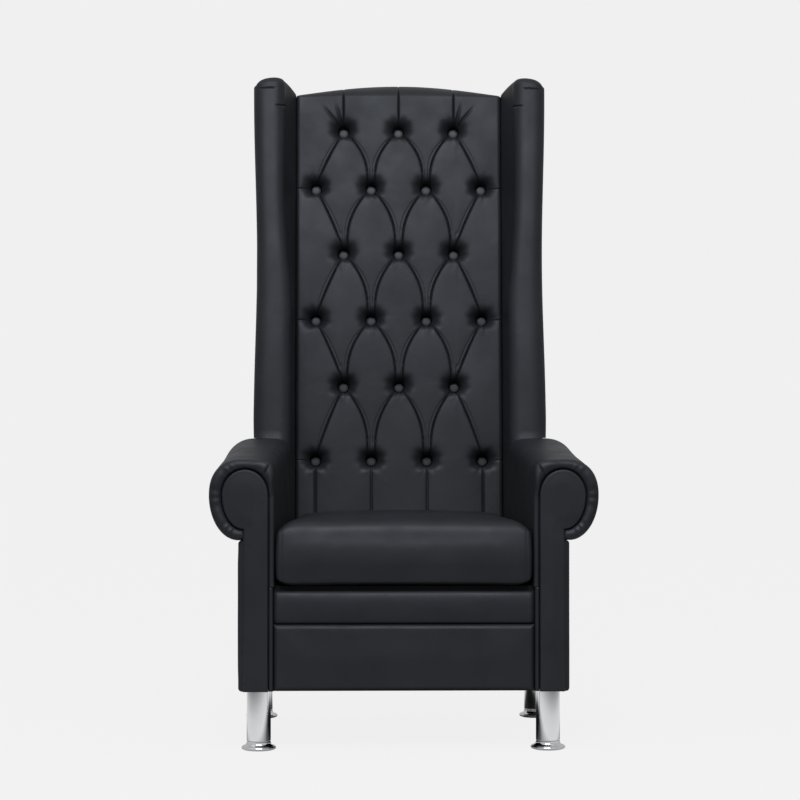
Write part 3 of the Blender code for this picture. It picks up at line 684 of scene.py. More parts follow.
def arm_crest(y):
    """The height of an arm's roll, which climbs towards the wing."""
    rise = np.clip((y - ARM_FRONT) / (wing_front(SCROLL_HEIGHT) - ARM_FRONT), 0.0, 1.0)
    return SCROLL_HEIGHT + SCROLL_RISE + ARM_CLIMB * rise + ARM_LIFT * rise ** 2


def arm_top(x, y):
    """The height of an arm's upper surface, which a wing stands on."""
    inner = arm_inner(y)
    half = (SCROLL_OUTER - inner) / 2
    off = np.clip((np.abs(x) - inner - half) / half, -1.0, 1.0)
    power = np.where(off < 0.0, ARM_SQUARENESS, ARM_OUTER_SQUARENESS)
    return SCROLL_HEIGHT + (arm_crest(y) - SCROLL_HEIGHT) * (1.0 - np.abs(off) ** power) ** (1.0 / power)


def scroll_path(inner, outer, side, bottom, crest, tuck, squareness=(2.0, 2.0)):
    """An arm's section in (x, z) from the foot of its inner wall over the roll to the tuck below it.

    The inner and outer shoulders of the roll are squarer than an ellipse above a squareness of 2.
    """
    wall = np.linspace((inner, bottom), (inner, SCROLL_HEIGHT), INNER_WALL_POINTS, endpoint=False)
    angle = np.linspace(pi, 0.0, ROLL_POINTS + 1)
    power = 2.0 / np.where(angle > pi / 2, *squareness)
    middle, half = (inner + outer) / 2, (outer - inner) / 2
    x = middle + half * np.sign(np.cos(angle)) * np.abs(np.cos(angle)) ** power
    z = SCROLL_HEIGHT + (crest - SCROLL_HEIGHT) * np.abs(np.sin(angle)) ** power
    roll = np.column_stack([x, z])
    under = arc((side, SCROLL_HEIGHT), (outer - side, SCROLL_HEIGHT - tuck), 0, -90, UNDER_POINTS)[1:]
    return np.concatenate([wall, roll, under])


def board_path(tuck):
    """The hollow side of an arm's section, round the side board that it wraps."""
    inner, outer = BOARD_INNER - GAP, BOARD_OUTER + GAP
    top = SCROLL_HEIGHT + BOARD_INTO_SCROLL + GAP
    up = np.linspace((inner, SEAT_BOTTOM), (inner, top), INNER_WALL_POINTS, endpoint=False)
    over = np.linspace((inner, top), (outer, top), ROLL_POINTS + 1)
    down = np.linspace((outer, top), (outer, tuck), UNDER_POINTS + 1)[1:]
    return np.concatenate([up, over, down])


def facing_path(grow):
    """The part of a facing's outline that the arm's front band runs round, grown outwards."""
    return scroll_path(
        FACING_INNER - grow, FACING_OUTER + grow, FACING_NECK + grow, SEAT_BOTTOM,
        SCROLL_HEIGHT + FACING_RISE + grow, SCROLL_HEIGHT - FACING_DROP - grow,
    )


def arm_section(y):
    """An arm's section at a distance along it."""
    return scroll_path(arm_inner(y), SCROLL_OUTER, SIDE_OUTER, SEAT_BOTTOM, arm_crest(y),
                       SCROLL_HEIGHT - SCROLL_TUCK, (ARM_SQUARENESS, ARM_OUTER_SQUARENESS))


def arm_rear(section):
    """Where each point of an arm ends: against the back post inside, flush with the back outside."""
    middle = (BOARD_INNER + BOARD_OUTER) / 2
    layer = np.where(section[:, 0] < middle, POST_FACE - GAP, PANEL_FACE - GAP)
    return back_plane(section[:, 1], layer)


def band_folds(count):
    """How far the front band is drawn in: fine gathers round the roll, a mitre at its inner corner."""
    place = np.arange(count)
    sway, pace = GATHER_SWAY
    gathers = GATHER_HEIGHT * np.sin(2 * pi * place / GATHER_SPACING + sway * np.sin(pace * place))
    curved = ease((place - INNER_WALL_POINTS - ROLL_POINTS / 2) / GATHER_FADE)
    corner = INNER_WALL_POINTS + ROLL_POINTS / 4
    return gathers * curved + MITRE_DEPTH * valley(place - corner, MITRE_WIDTH)


def arm_pad(name, side):
    """A scroll arm swept backwards from the padded band that rolls over its front edge."""
    tuck = SCROLL_HEIGHT - SCROLL_TUCK
    board = board_path(tuck)
    first, seam = arm_section(ARM_FRONT), facing_path(SEAM_WIDTH)
    bulge = BAND_BULGE * np.hypot(*(first - seam).T) / 2
    outer, inner = [], []
    for turn in np.linspace(pi, 0.0, BAND_STEPS + 1):
        band = seam + (first - seam) * (1.0 + cos(turn)) / 2
        proud = (bulge - band_folds(len(band))) * sin(turn)
        outer.append(np.column_stack([band[:, 0], ARM_FRONT - proud, band[:, 1]]))
        hollow = np.full(len(board), ARM_FRONT + BAND_HOLLOW * (1.0 - turn / pi))
        inner.append(np.column_stack([board[:, 0], hollow, board[:, 1]]))
    last = arm_section(back_plane(SCROLL_HEIGHT, PANEL_FACE))
    start = ARM_FRONT + BAND_HOLLOW
    for share in np.linspace(0.0, 1.0, ARM_STEPS + 1)[1:]:
        y = ARM_FRONT + (arm_rear(last) - ARM_FRONT) * share
        level = ARM_FRONT + (back_plane(SCROLL_HEIGHT, PANEL_FACE - GAP) - ARM_FRONT) * share
        section = arm_section(level)
        upper = ease((section[:, 1] - SCROLL_HEIGHT) / ARM_RIPPLE_FADE)
        section[:, 1] += ripple(section[:, 0], y, *ARM_RIPPLE) * upper
        outer.append(np.column_stack([section[:, 0], y, section[:, 1]]))
        hollow = start + (arm_rear(board) - start) * share
        inner.append(np.column_stack([board[:, 0], hollow, board[:, 1]]))
    mirror = np.array((side, 1.0, 1.0))
    piece = shell("arm_pad_%s_leather" % name, np.array(outer) * mirror, np.array(inner) * mirror)
    upholster(piece, ["arm_pad_" + name])


PANEL_RIPPLE = (0.0004, 0.16)
PANEL_RIPPLE_FADE = 0.02
BULGE_REACH = 8.0


def pillow(name, u, v, outline, thickness, place, rounding, bulge):
    """A padded panel: a face that swells in the middle and rounds off at its outline, on a flat back.

    u and v are grids of points on the panel, and place puts (u, v, depth) into the frame.
    """
    inset = outline_distance(u, v, outline)
    depth = thickness - rounded(inset, rounding) + bulge * ease(inset / (BULGE_REACH * rounding))
    depth = depth + ripple(u, v, *PANEL_RIPPLE) * ease(inset / PANEL_RIPPLE_FADE)
    return shell(name, place(u, v, depth), place(u, v, np.zeros_like(u)))


def facing_span(z):
    """The inner and outer edges of a keyhole facing at a height."""
    middle, half = (FACING_INNER + FACING_OUTER) / 2, (FACING_OUTER - FACING_INNER) / 2
    up = np.sqrt(np.clip(1.0 - (np.maximum(z - SCROLL_HEIGHT, 0.0) / FACING_RISE) ** 2, 0.0, 1.0))
    down = np.sqrt(np.clip(1.0 - (np.maximum(SCROLL_HEIGHT - z, 0.0) / FACING_DROP) ** 2, 0.0, 1.0))
    below = FACING_NECK + (FACING_OUTER - FACING_NECK) * down
    return middle - half * up, np.where(z > SCROLL_HEIGHT, middle + half * up, below)


def arm_facing(name, side):
    """The keyhole panel that closes the front of an arm and runs down to the base."""
    neck_top = SCROLL_HEIGHT - FACING_DROP
    straight = spread((BODY_BOTTOM, BODY_BOTTOM + FACING_ROUND, neck_top), FACING_NECK_ROWS)
    lower = np.radians(np.linspace(0.0, 90.0, FACING_UNDER_ROWS))[1:]
    upper = np.radians(np.linspace(0.0, FACING_TOP_ANGLE, FACING_ROLL_ROWS))[1:]
    under = SCROLL_HEIGHT - FACING_DROP * np.cos(lower)
    roll = SCROLL_HEIGHT + FACING_RISE * np.sin(upper)
    v = np.concatenate([straight, under, roll])
    left, right = facing_span(v)
    outline = np.concatenate([np.column_stack([left, v]), np.column_stack([right, v])[::-1]])
    turn = np.linspace(-FACING_CLOSENESS, FACING_CLOSENESS, FACING_COLUMNS)
    share = np.sin(turn) / (2 * sin(FACING_CLOSENESS)) + 0.5
    share = np.round(share, 6)[None, :]
    u = left[:, None] + (right - left)[:, None] * share
    v = np.broadcast_to(v[:, None], u.shape)

    def place(across, height, depth):
        return np.stack([side * across, ARM_FRONT - GAP - depth, height], axis=-1)

    piece = pillow("arm_facing_%s_leather" % name, u, v, outline, FACING_THICKNESS, place,
                   FACING_ROUND, FACING_BULGE)
    upholster(piece, ["arm_facing_" + name])


# Wings
WING_SQUARENESS = 2.7
WING_EDGE = 0.016
WING_CREST = 0.047
WING_OUTER_FALL = 0.018
WING_BACK_FALL = 0.027
WING_BACK_START = 0.02
WING_CORNER_KEEPS = 0.7
WING_FLARE = 0.003
WING_FLARE_SHARE = 0.25
WING_SPREAD = 0.017
WING_SLIMS = 0.92
WING_SLIM = 1.22
WING_WAIST = 0.0045
WAIST_TURNS = 1.1
WAIST_PEAK = 0.98
WAIST_START = 0.35
WING_LIP = 0.0008
CAP_INSET = 0.006
CAP_SETBACK = 0.002
WING_ZONE = 0.72
WING_CLOSE = 0.05
WING_SEAM = 0.0005
FOOT_ROWS = 46
TALL_ROWS = (150, 36)
CAP_ROWS = 18
EDGE_ROWS = 14
EDGE_TURN = 86.0
CLOSING_ROWS = 12
CLOSING_SHARE = 0.49
WALL_POINTS = 40
NOSE_POINTS = 64
CREASE_DEPTH = 0.0022
CREASE_WIDTH = 0.0016
CREASE_FADE = 0.010
CREASE_SLANT = 0.7
UPPER_CREASE = (0.026, 0.004, 0.050)
LOWER_CREASE = (0.066, 0.044)
WING_RIPPLE = (0.0009, 0.23)
WING_RIPPLE_ZONE = (0.1, 0.05)


def wing_waist(z):
    """How far the wing's outside stands out: most at the top, drawn in at the middle."""
    share = (z - SCROLL_HEIGHT) / (WING_TOP - SCROLL_HEIGHT)
    wave = np.cos(2.0 * pi * WAIST_TURNS * (share - WAIST_PEAK))
    return WING_WAIST * wave * ease(WAIST_START + share)


def wing_width(z):
    """The width of a wing's front: fullest beside the sitter, slimmer towards its top."""
    return WING_FRONT_WIDTH + WING_SPREAD * (1.0 - ease((z - WING_SLIMS) / (WING_SLIM - WING_SLIMS)))


def wing_outer_path(z, inset):
    """The soft side of a wing's section: past the back cushion, along the inner wall, round the nose."""
    inner_back = ARM_INNER_BACK + inset
    inner_front = WING_OUTER - wing_width(z) + inset
    outer = WING_OUTER + wing_waist(z) - inset
    turn = wing_front(z) + WING_NOSE
    reach = WING_NOSE - inset
    rear = back_plane(z, POST_FACE - GAP) if z < BOARD_TOP else back_plane(z, PANEL_FACE - GAP) - inset
    beside = (inner_back, back_plane(z, -BACK_PAD))
    wall = along([(inner_back, rear), beside, (inner_front, turn)], WALL_POINTS + 1)[:-1]
    angle = np.linspace(pi, 2.0 * pi, NOSE_POINTS)
    flat = 2.0 / WING_SQUARENESS
    middle, half = (inner_front + outer) / 2, (outer - inner_front) / 2
    x = middle + half * np.sign(np.cos(angle)) * np.abs(np.cos(angle)) ** flat
    y = turn - reach * np.abs(np.sin(angle)) ** flat
    return np.concatenate([wall, np.column_stack([x, y])])


def wing_inner_path(z, inset):
    """The hidden side of a wing's section: along the side board, or above it round the back of the cap."""
    turn = wing_front(z) + WING_NOSE
    outer = WING_OUTER + wing_waist(z) - inset
    if z < BOARD_TOP:
        corner = (BOARD_INNER - GAP, turn - GAP)
        start = (BOARD_INNER - GAP, back_plane(z, POST_FACE - GAP))
        end = (outer - WING_LIP, turn - GAP)
    else:
        rear = back_plane(z, PANEL_FACE - GAP) - inset
        corner = (outer, rear)
        start = (ARM_INNER_BACK + inset + CAP_INSET, rear)
        end = (outer, turn + CAP_SETBACK)
    wall = np.linspace(start, corner, WALL_POINTS, endpoint=False)
    return np.concatenate([wall, np.linspace(corner, end, NOSE_POINTS)])


def wing_levels():
    """Heights and insets of a wing's sections from its foot to the middle of its rounded top."""
    low = np.linspace(SCROLL_HEIGHT, WING_ZONE, FOOT_ROWS, endpoint=False)
    tall = spread((WING_ZONE, BOARD_TOP - WING_CLOSE, BOARD_TOP - WING_SEAM), TALL_ROWS)
    start = WING_TOP - WING_EDGE
    cap = np.linspace(BOARD_TOP + WING_SEAM, start, CAP_ROWS, endpoint=False)
    plain = [(z, 0.0) for z in np.concatenate([low, tall, cap])]
    turn = np.radians(np.linspace(0.0, EDGE_TURN, EDGE_ROWS))
    return plain + [(start + WING_EDGE * sin(a), WING_EDGE * (1.0 - cos(a))) for a in turn]


def wing_folds(x, z):
    """The two short folds where the leather is turned over at the top of a wing's front."""
    out, down = WING_OUTER - x, WING_TOP - z
    drop, near, far = UPPER_CREASE
    upper = ease((out - near) / CREASE_FADE) * ease((far - out) / CREASE_FADE)
    upper = upper * valley(down - drop, CREASE_WIDTH)
    drop, near = LOWER_CREASE
    lower = valley(down - drop, CREASE_WIDTH) * ease((out - near) / CREASE_FADE)
    return CREASE_DEPTH * (upper + lower)


def wing_fall(x, y, z):
    """How far the top of a wing falls from its crest, outwards and towards the back."""
    above = np.clip((z - BOARD_TOP) / (WING_TOP - BOARD_TOP), 0.0, 1.0)
    outward = np.clip((x - WING_OUTER + WING_CREST) / WING_CREST, 0.0, 0.985)
    behind = np.clip((y - wing_front(WING_TOP) - WING_BACK_START) / WING_REACH, 0.0, 1.0)
    back_fall = WING_BACK_FALL * behind ** 2 * (1.0 - WING_CORNER_KEEPS * outward)
    return above * np.hypot(WING_OUTER_FALL * (1.0 - np.sqrt(1.0 - outward ** 2)), back_fall)


def wing_pad(name, side):
    """A wing standing on the arm, with a soft front edge and a rounded top."""
    outer, inner = [], []
    for z, inset in wing_levels():
        for path, rows in ((wing_outer_path(z, inset), outer), (wing_inner_path(z, inset), inner)):
            level = np.full(len(path), z)
            x, y = path.T
            if z < WING_ZONE:
                share = (z - SCROLL_HEIGHT) / (WING_ZONE - SCROLL_HEIGHT)
                proud = np.clip((wing_front(z) + WING_NOSE - y) / WING_NOSE, 0.0, 1.0)
                y = y - WING_FLARE * proud * (1.0 - min(share / WING_FLARE_SHARE, 1.0)) ** 2
                foot = arm_top(x, y) + 2 * GAP
                level = foot + (WING_ZONE - foot) * share
                y = y + (level - z) * tan(RECLINE)
            rows.append(np.column_stack([x, y, level]))
    outer, inner = np.array(outer), np.array(inner)
    across = np.linspace(0.0, CLOSING_SHARE, CLOSING_ROWS + 1)[1:, None, None]
    span = (inner[-1] - outer[-1]) * across
    outer, inner = np.concatenate([outer, outer[-1] + span]), np.concatenate([inner, inner[-1] - span])
    nose = outer[:, WALL_POINTS:]
    front = nose[:, :, 1] < wing_front(nose[:, :, 2]) + WING_NOSE * 0.9
    folds = wing_folds(nose[:, :, 0], nose[:, :, 2]) * front
    nose[:, :, 0] += CREASE_SLANT * folds
    nose[:, :, 1] += folds
    for sheet in (outer, inner):
        sheet[:, :, 2] -= wing_fall(*np.moveaxis(sheet, -1, 0))
    limit, fade = WING_RIPPLE_ZONE
    zone = ease((limit - outer[:, :, 1]) / fade)
    outer[:, :, 1] += ripple(outer[:, :, 0], outer[:, :, 2], *WING_RIPPLE) * zone
    mirror = np.array((side, 1.0, 1.0))
    piece = shell("wing_pad_%s_leather" % name, outer * mirror, inner * mirror)
    upholster(piece, ["wing_pad_" + name])


# Plain padded panels
PANEL_STEP = 0.008
ROUND_ROWS = 8
LEAST_ROWS = 4
WING_PANEL_STEP = 0.02
WING_PANEL_CLOSE = 0.012
WING_PANEL_EDGE = (0.003, 0.02)
WING_PANEL_BULGE = (0.001, 0.25)
WING_PANEL_KEEPS = 0.4
SIDE_ROUND = 0.0075
SIDE_BULGE = 0.0035
BACK_PANEL_STEP = 0.012
BACK_PANEL_ROUND = 0.006
BACK_PANEL_BULGE = 0.004
FRONT_ROUND = 0.011
FRONT_BULGE = 0.0030
FRONT_THICKNESS = 0.022
EDGE_BAND = 0.0097
EDGE_BAND_ROUND = EDGE_BAND / 2.2
EDGE_BAND_PROUD = 0.004
FRONT_HALF = FACING_INNER - GAP - EDGE_BAND
ROLL_RECESS = 0.012
ROLL_FULLNESS = 0.30
ROLL_END = 0.012
ROLL_DROP = 0.009
ROLL_COLUMNS = (10, 70, 10)
ROLL_ROWS = 40
ROLL_RIPPLE = (0.0004, 0.2)
ROLL_BACKING = 0.0001


def flat_grid(low_u, high_u, low_v, high_v, step, rounding):
    """A grid over a rectangle, close-set along its edges where they round off."""
    edges = []
    for low, high in ((low_u, high_u), (low_v, high_v)):
        count = max(int((high - low - 2 * rounding) / step), LEAST_ROWS)
        edges.append(spread((low, low + rounding, high - rounding, high), (ROUND_ROWS, count, ROUND_ROWS)))
    return np.meshgrid(*edges, indexing="ij")


def rectangle(low_u, high_u, low_v, high_v):
    """The corners of a rectangle in order."""
    return [(low_u, low_v), (high_u, low_v), (high_u, high_v), (low_u, high_v)]


def flat_pillow(name, area, thickness, place, rounding, bulge, step=PANEL_STEP):
    """A padded panel over a rectangle."""
    u, v = flat_grid(*area, step, rounding)
    return pillow(name, u, v, rectangle(*area), thickness, place, rounding, bulge)


def wing_outer_panel(name, side):
    """The thin panel outside a wing, from the arm up to the cap."""
    area = (0.0, 1.0, 0.0, 1.0)
    u, v = flat_grid(*area, WING_PANEL_STEP, WING_PANEL_CLOSE)
    inset = outline_distance(u, v, rectangle(*area))
    face = WING_OUTER - BOARD_OUTER - GAP
    front_foot = wing_front(WING_ZONE) + WING_NOSE

    def place(depth):
        x = np.full_like(u, BOARD_OUTER + GAP) + depth
        rear_foot = back_plane(WING_ZONE, PANEL_FACE - GAP)
        y = front_foot + (rear_foot - front_foot) * u
        foot = arm_top(x, y) + 2 * GAP
        z = foot + (BOARD_TOP - GAP - foot) * v
        lean = (z - WING_ZONE) * tan(RECLINE)
        wide = x + wing_waist(z) * (depth > 0.0)
        wide = np.maximum(wide, BOARD_OUTER + GAP + WING_PANEL_KEEPS * depth)
        return np.stack([side * wide, y + lean, z], axis=-1)

    thin, edge = WING_PANEL_EDGE
    swell, reach = WING_PANEL_BULGE
    depth = face - thin * (1.0 - ease(inset / edge)) + swell * ease(inset / reach)
    piece = shell("wing_outer_panel_%s_leather" % name, place(depth), place(np.zeros_like(u)))
    upholster(piece, ["wing_outer_panel_" + name])


def side_panel(name, side):
    """The panel outside the side board, below the arm's scroll."""
    rear = back_plane(SCROLL_HEIGHT - SCROLL_TUCK, PANEL_FACE - GAP)
    top = SCROLL_HEIGHT - SCROLL_TUCK - GAP

    def place(along_side, height, depth):
        lean = (height - top) * tan(RECLINE) * ease((along_side - ARM_FRONT) / (rear - ARM_FRONT))
        x = side * (BOARD_OUTER + GAP + depth)
        return np.stack([x, along_side + lean, height], axis=-1)

    piece = flat_pillow("side_panel_%s_leather" % name, (ARM_FRONT, rear, BODY_BOTTOM, top),
                        SIDE_OUTER - BOARD_OUTER - GAP, place, SIDE_ROUND, SIDE_BULGE)
    upholster(piece, ["side_panel_" + name])


def outside_back():
    """The panel that closes the back, from the base to the top of the frame."""
    foot = (BODY_BOTTOM - SEAT_BOTTOM) / cos(RECLINE) + (PANEL_FACE + OUTSIDE_BACK) * tan(RECLINE)
    area = (-WING_OUTER, WING_OUTER, foot, FRAME_TOP + PANEL_LIP)

    def place(across, height, depth):
        return leaned(across, PANEL_FACE + depth, height)

    piece = flat_pillow("outside_back_leather", area, OUTSIDE_BACK, place,
                        BACK_PANEL_ROUND, BACK_PANEL_BULGE, BACK_PANEL_STEP)
    upholster(piece, ["outside_back_panel"])


def front_place(across, height, depth):
    """Points of the front, given across, up and forward of the front rail, in the frame."""
    return np.stack([across, PANEL_BACK - depth, height], axis=-1)


def front_panel():
    """The padded panel below the roll, full along its top edge."""
    area = (-FRONT_HALF, FRONT_HALF, BODY_BOTTOM, ROLL_BOTTOM - GAP)
    piece = flat_pillow("front_panel_leather", area, FRONT_THICKNESS, front_place, FRONT_ROUND, FRONT_BULGE)
    upholster(piece, ["front_panel"])


def edge_bands():
    """The narrow leather edge of each arm that runs on down beside the roll and the front panel."""
    for name, side in SIDES.items():
        low, high = sorted((side * FRONT_HALF, side * (FRONT_HALF + EDGE_BAND)))
        area = (low, high, BODY_BOTTOM, SEAT_BOTTOM - GAP)
        piece = flat_pillow("front_edge_%s_leather" % name, area, FRONT_THICKNESS + EDGE_BAND_PROUD,
                            front_place, EDGE_BAND_ROUND, 0.0)
        upholster(piece, [])


def seat_roll():
    """The padded roll along the front edge of the deck, under the cushion."""
    half = FRONT_HALF
    u, turn = np.meshgrid(spread((-half, -half + ROLL_END, half - ROLL_END, half), ROLL_COLUMNS),
                          np.radians(np.linspace(-90.0, 90.0, ROLL_ROWS)), indexing="ij")
    top = ROLL_TOP - ROLL_DROP
    height = (ROLL_BOTTOM + top) / 2 + (top - ROLL_BOTTOM) / 2 * np.sin(turn)
    full = np.abs(np.cos(turn)) ** ROLL_FULLNESS
    end = rounded(half - np.abs(u), ROLL_END)
    depth = (PANEL_BACK - FRONT - ROLL_RECESS - end + ripple(u, height, *ROLL_RIPPLE)) * full
    backing = front_place(u, height, np.full_like(u, -ROLL_BACKING))
    piece = shell("seat_roll_leather", front_place(u, height, depth), backing)
    upholster(piece, ["seat_roll"])


# Seat cushion
CUSHION_CELL = 0.006
CUSHION_TOP_ROUND = 0.013
CUSHION_LOW_ROUND = 0.010
CUSHION_NOSE = 0.008
CUSHION_NOSE_HEIGHT = 0.42
CUSHION_END = 0.87
CUSHION_END_FALL = 0.014
CUSHION_END_LIFT = 0.009
CROWN_SPREAD = 0.42
CROWN_FLATNESS = 10
CLOTH_FRAMES = 16
CLOTH_PRESSURE = 4.0
CLOTH_STIFFNESS = 8.0
CLOTH_QUALITY = 4
CLOTH_CAP = 0.0025
CUSHION_SHRINK = 0.002
CUSHION_SETTLE = 4
CUSHION_CLEARANCE = 0.0012
GUSSET = 0.013
GUSSET_SEAM_DEPTH = 0.0014
GUSSET_SEAM_WIDTH = 0.0013


def applied(piece):
    """The piece with its modifiers made into its mesh."""
    shown = piece.evaluated_get(bpy.context.evaluated_depsgraph_get())
    mesh = bpy.data.meshes.new_from_object(shown)
    piece.modifiers.clear()
    piece.data = mesh
    return piece


def coordinates(mesh):
    """The points of a mesh."""
    flat = np.empty(len(mesh.vertices) * 3)
    mesh.vertices.foreach_get("co", flat)
    return flat.reshape(-1, 3)


def set_coordinates(mesh, points):
    """Move the points of a mesh."""
    mesh.vertices.foreach_set("co", points.ravel())
    mesh.update()


def softened(mesh, rounds):
    """Small unevenness taken out by repeated averaging with the neighbours."""
    bm = bmesh.new()
    bm.from_mesh(mesh)
    for _ in range(rounds):
        bmesh.ops.smooth_vert(bm, verts=bm.verts[:], factor=0.5,
                              use_axis_x=True, use_axis_y=True, use_axis_z=True)
    bm.to_mesh(mesh)
    bm.free()


def inflated(piece):
    """The piece filled like a cushion by a short cloth simulation, each point held near its start."""
    start = coordinates(piece.data)
    cloth = piece.modifiers.new("Filling", "CLOTH")
    cloth.settings.use_pressure = True
    cloth.settings.uniform_pressure_force = CLOTH_PRESSURE
    cloth.settings.effector_weights.gravity = 0.0
    cloth.settings.bending_stiffness = CLOTH_STIFFNESS
    cloth.settings.quality = CLOTH_QUALITY
    cloth.collision_settings.use_collision = False
    cloth.point_cache.frame_start = 1
    cloth.point_cache.frame_end = CLOTH_FRAMES
    for step in range(1, CLOTH_FRAMES + 1):
        bpy.context.scene.frame_set(step)
    applied(piece)
    bpy.context.scene.frame_set(1)
    moved = coordinates(piece.data) - start
    far = np.linalg.norm(moved, axis=1, keepdims=True)
    set_coordinates(piece.data, start + moved * CLOTH_CAP / (CLOTH_CAP + far))


def cushion_walls(points):
    """How far a seat cushion may reach sideways, forwards and backwards at each point."""
    side = arm_inner(points[:, 1]) - CUSHION_CLEARANCE
    rear = back_plane(points[:, 2], -BACK_PAD) - CUSHION_CLEARANCE
    return side, FRONT, rear


def block(counts):
    """The points, from -1 to 1, and the faces of a box whose sides are divided into even cells."""
    numbers, points, faces = {}, [], []

    def number(corner):
        if corner not in numbers:
            numbers[corner] = len(points)
            points.append([2.0 * c / n - 1.0 for c, n in zip(corner, counts)])
        return numbers[corner]

    for axis in range(3):
        u, v = [other for other in range(3) if other != axis]
        for end in (0, counts[axis]):
            for i in range(counts[u]):
                for j in range(counts[v]):
                    face = []
                    for right, up in ((0, 0), (1, 0), (1, 1), (0, 1)):
                        corner = [end, end, end]
                        corner[u], corner[v] = i + right, j + up
                        face.append(number(tuple(corner)))
                    faces.append(face)
    return np.array(points), faces


def cushion_blank(name):
    """The cushion before it is filled: a block with soft edges, softest on top, and a full front."""
    half = np.array((ARM_INNER_FRONT, SEAT_DEPTH / 2, CUSHION_THICKNESS / 2))
    points, faces = block([int(2 * side / CUSHION_CELL) for side in half])
    points = points * half
    upper = ease(points[:, 2:] / CUSHION_THICKNESS + 0.5)
    radius = CUSHION_LOW_ROUND + (CUSHION_TOP_ROUND - CUSHION_LOW_ROUND) * upper
    core = np.clip(points, radius - half, half - radius)
    away = points - core
    points = core + radius * away / np.linalg.norm(away, axis=1, keepdims=True)
    across, deep, high = ((points / half + (0.0, 1.0, 1.0)) / (1.0, 2.0, 2.0)).T
    end = np.clip((np.abs(across) - CUSHION_END) / (1.0 - CUSHION_END), 0.0, 1.0) ** 2
    drop = CUSHION_END_FALL * high - CUSHION_END_LIFT * (1.0 - high)
    z = SEAT_BOTTOM + CUSHION_THICKNESS * high - drop * end
    flat = np.clip((high - CUSHION_NOSE_HEIGHT) / (1.0 - CUSHION_NOSE_HEIGHT), -1.0, 1.0) ** 2
    front = FRONT + CUSHION_NOSE * flat
    y = front + (back_plane(z, -BACK_PAD) - CUSHION_CLEARANCE - front) * deep
    x = across * (arm_inner(y) - CUSHION_CLEARANCE)
    return new_object(name, np.column_stack([x, y, z]).tolist(), faces)


def crowned(points):
    """The cushion's points with its top raised towards the middle."""
    side, front, rear = cushion_walls(points)
    across = 1.0 - np.clip(points[:, 0] / side, -1.0, 1.0) ** 2
    off = 2.0 * (points[:, 1] - front) / (rear - front) - 1.0
    deep = 1.0 - np.clip(off, -1.0, 1.0) ** CROWN_FLATNESS
    share = np.clip((points[:, 2] - SEAT_BOTTOM) / CUSHION_THICKNESS, 0.0, 1.0)
    raised = points.copy()
    raised[:, 2] += CUSHION_CROWN * across ** CROWN_SPREAD * deep * share
    return raised


def resized(points, low, high):
    """Points stretched to fill a box."""
    span = points.max(axis=0) - points.min(axis=0)
    return low + (points - points.min(axis=0)) * (high - low) / span


def seat_cushion():
    """The loose cushion: a cover over the front and top, and a gusset sewn in at each end."""
    piece = cushion_blank("seat_cushion_leather")
    points = coordinates(piece.data)
    low, high = points.min(axis=0), points.max(axis=0)
    set_coordinates(piece.data, resized(points, low + CUSHION_SHRINK, high - CUSHION_SHRINK))
    inflated(piece)
    softened(piece.data, CUSHION_SETTLE)
    set_coordinates(piece.data, crowned(resized(coordinates(piece.data), low, high)))
    finer = piece.modifiers.new("Finer", "SUBSURF")
    finer.levels = 1
    finer.render_levels = 1
    applied(piece)
    set_coordinates(piece.data, gusseted(coordinates(piece.data)))
    piece.data.shade_smooth()
    upholster(piece, ["seat_cushion"], "seat_cushion")


def gusseted(points):
    """The cushion's points with a sewn line drawn in near each end, kept clear of the arms and deck."""
    side, _, rear = cushion_walls(points)
    middle = np.array((0.0, (FRONT + BACK_FOOT_Y - BACK_PAD) / 2, SEAT_BOTTOM + CUSHION_THICKNESS / 2))
    inward = middle - points
    inward[:, 0] = 0.0
    inward /= np.maximum(np.linalg.norm(inward, axis=1, keepdims=True), 1e-6)
    seam = valley(side - GUSSET - np.abs(points[:, 0]), GUSSET_SEAM_WIDTH)
    sewn = points + inward * (GUSSET_SEAM_DEPTH * seam)[:, None]
    sewn[:, 0] = np.clip(sewn[:, 0], -side, side)
    sewn[:, 1] = np.minimum(sewn[:, 1], rear)
    sewn[:, 2] = np.maximum(sewn[:, 2], SEAT_BOTTOM)
    return sewn


# Legs and feet
ROUND_SIDES = 96
TUBE_ROUND = 0.0012
PLATE_ROUND = 0.0015
PLATE_SHARP = 35
BORE_CLEARANCE = 0.0004
THREAD_DEPTH = 0.0008
STUD_END = 0.001
SHOULDER_ROUND = 0.001
SHOULDER_DROP = 0.002
FLARE_DROP = 0.003
FLARE_INSET = 0.002
FLARE_STEPS = 12
RIM_ROUND = 0.0035
RIM_DROP = 0.001
RIM_FLATTENS = 0.0022
RIM_ARC = (70, -80)
RIM_STEPS = 12
SOLE_INSET = 0.006


def leg(node):
    """A chromed tube with its mounting plate, bored for the foot's stud."""
    low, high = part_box(node)
    radius = LEG_DIAMETER / 2
    x = high.x - radius if low.x > 0 else low.x + radius
    y = (low.y + high.y) / 2
    bore = STUD_DIAMETER / 2 + BORE_CLEARANCE
    bore_top = low.z + STUD_LENGTH + BORE_CLEARANCE
    top = high.z - PLATE_THICKNESS
    profile = [(0.0, top), (radius - TUBE_ROUND, top), (radius, top - TUBE_ROUND)]
    profile += [(radius, low.z + TUBE_ROUND), (radius - TUBE_ROUND, low.z), (bore, low.z)]
    profile += [(bore, bore_top), (0.0, bore_top)]
    tube = revolved(node + "_tube", profile, (x, y, 0.0), ROUND_SIDES)
    dress(tube, CHROME, [node])
    plate_high = (min(high.x, BOARD_OUTER), high.y, high.z)
    plate_low = (max(low.x, -BOARD_OUTER), low.y, high.z - PLATE_THICKNESS)
    plate = plate_object(node + "_plate", plate_low, plate_high)
    dress(plate, CHROME, [])


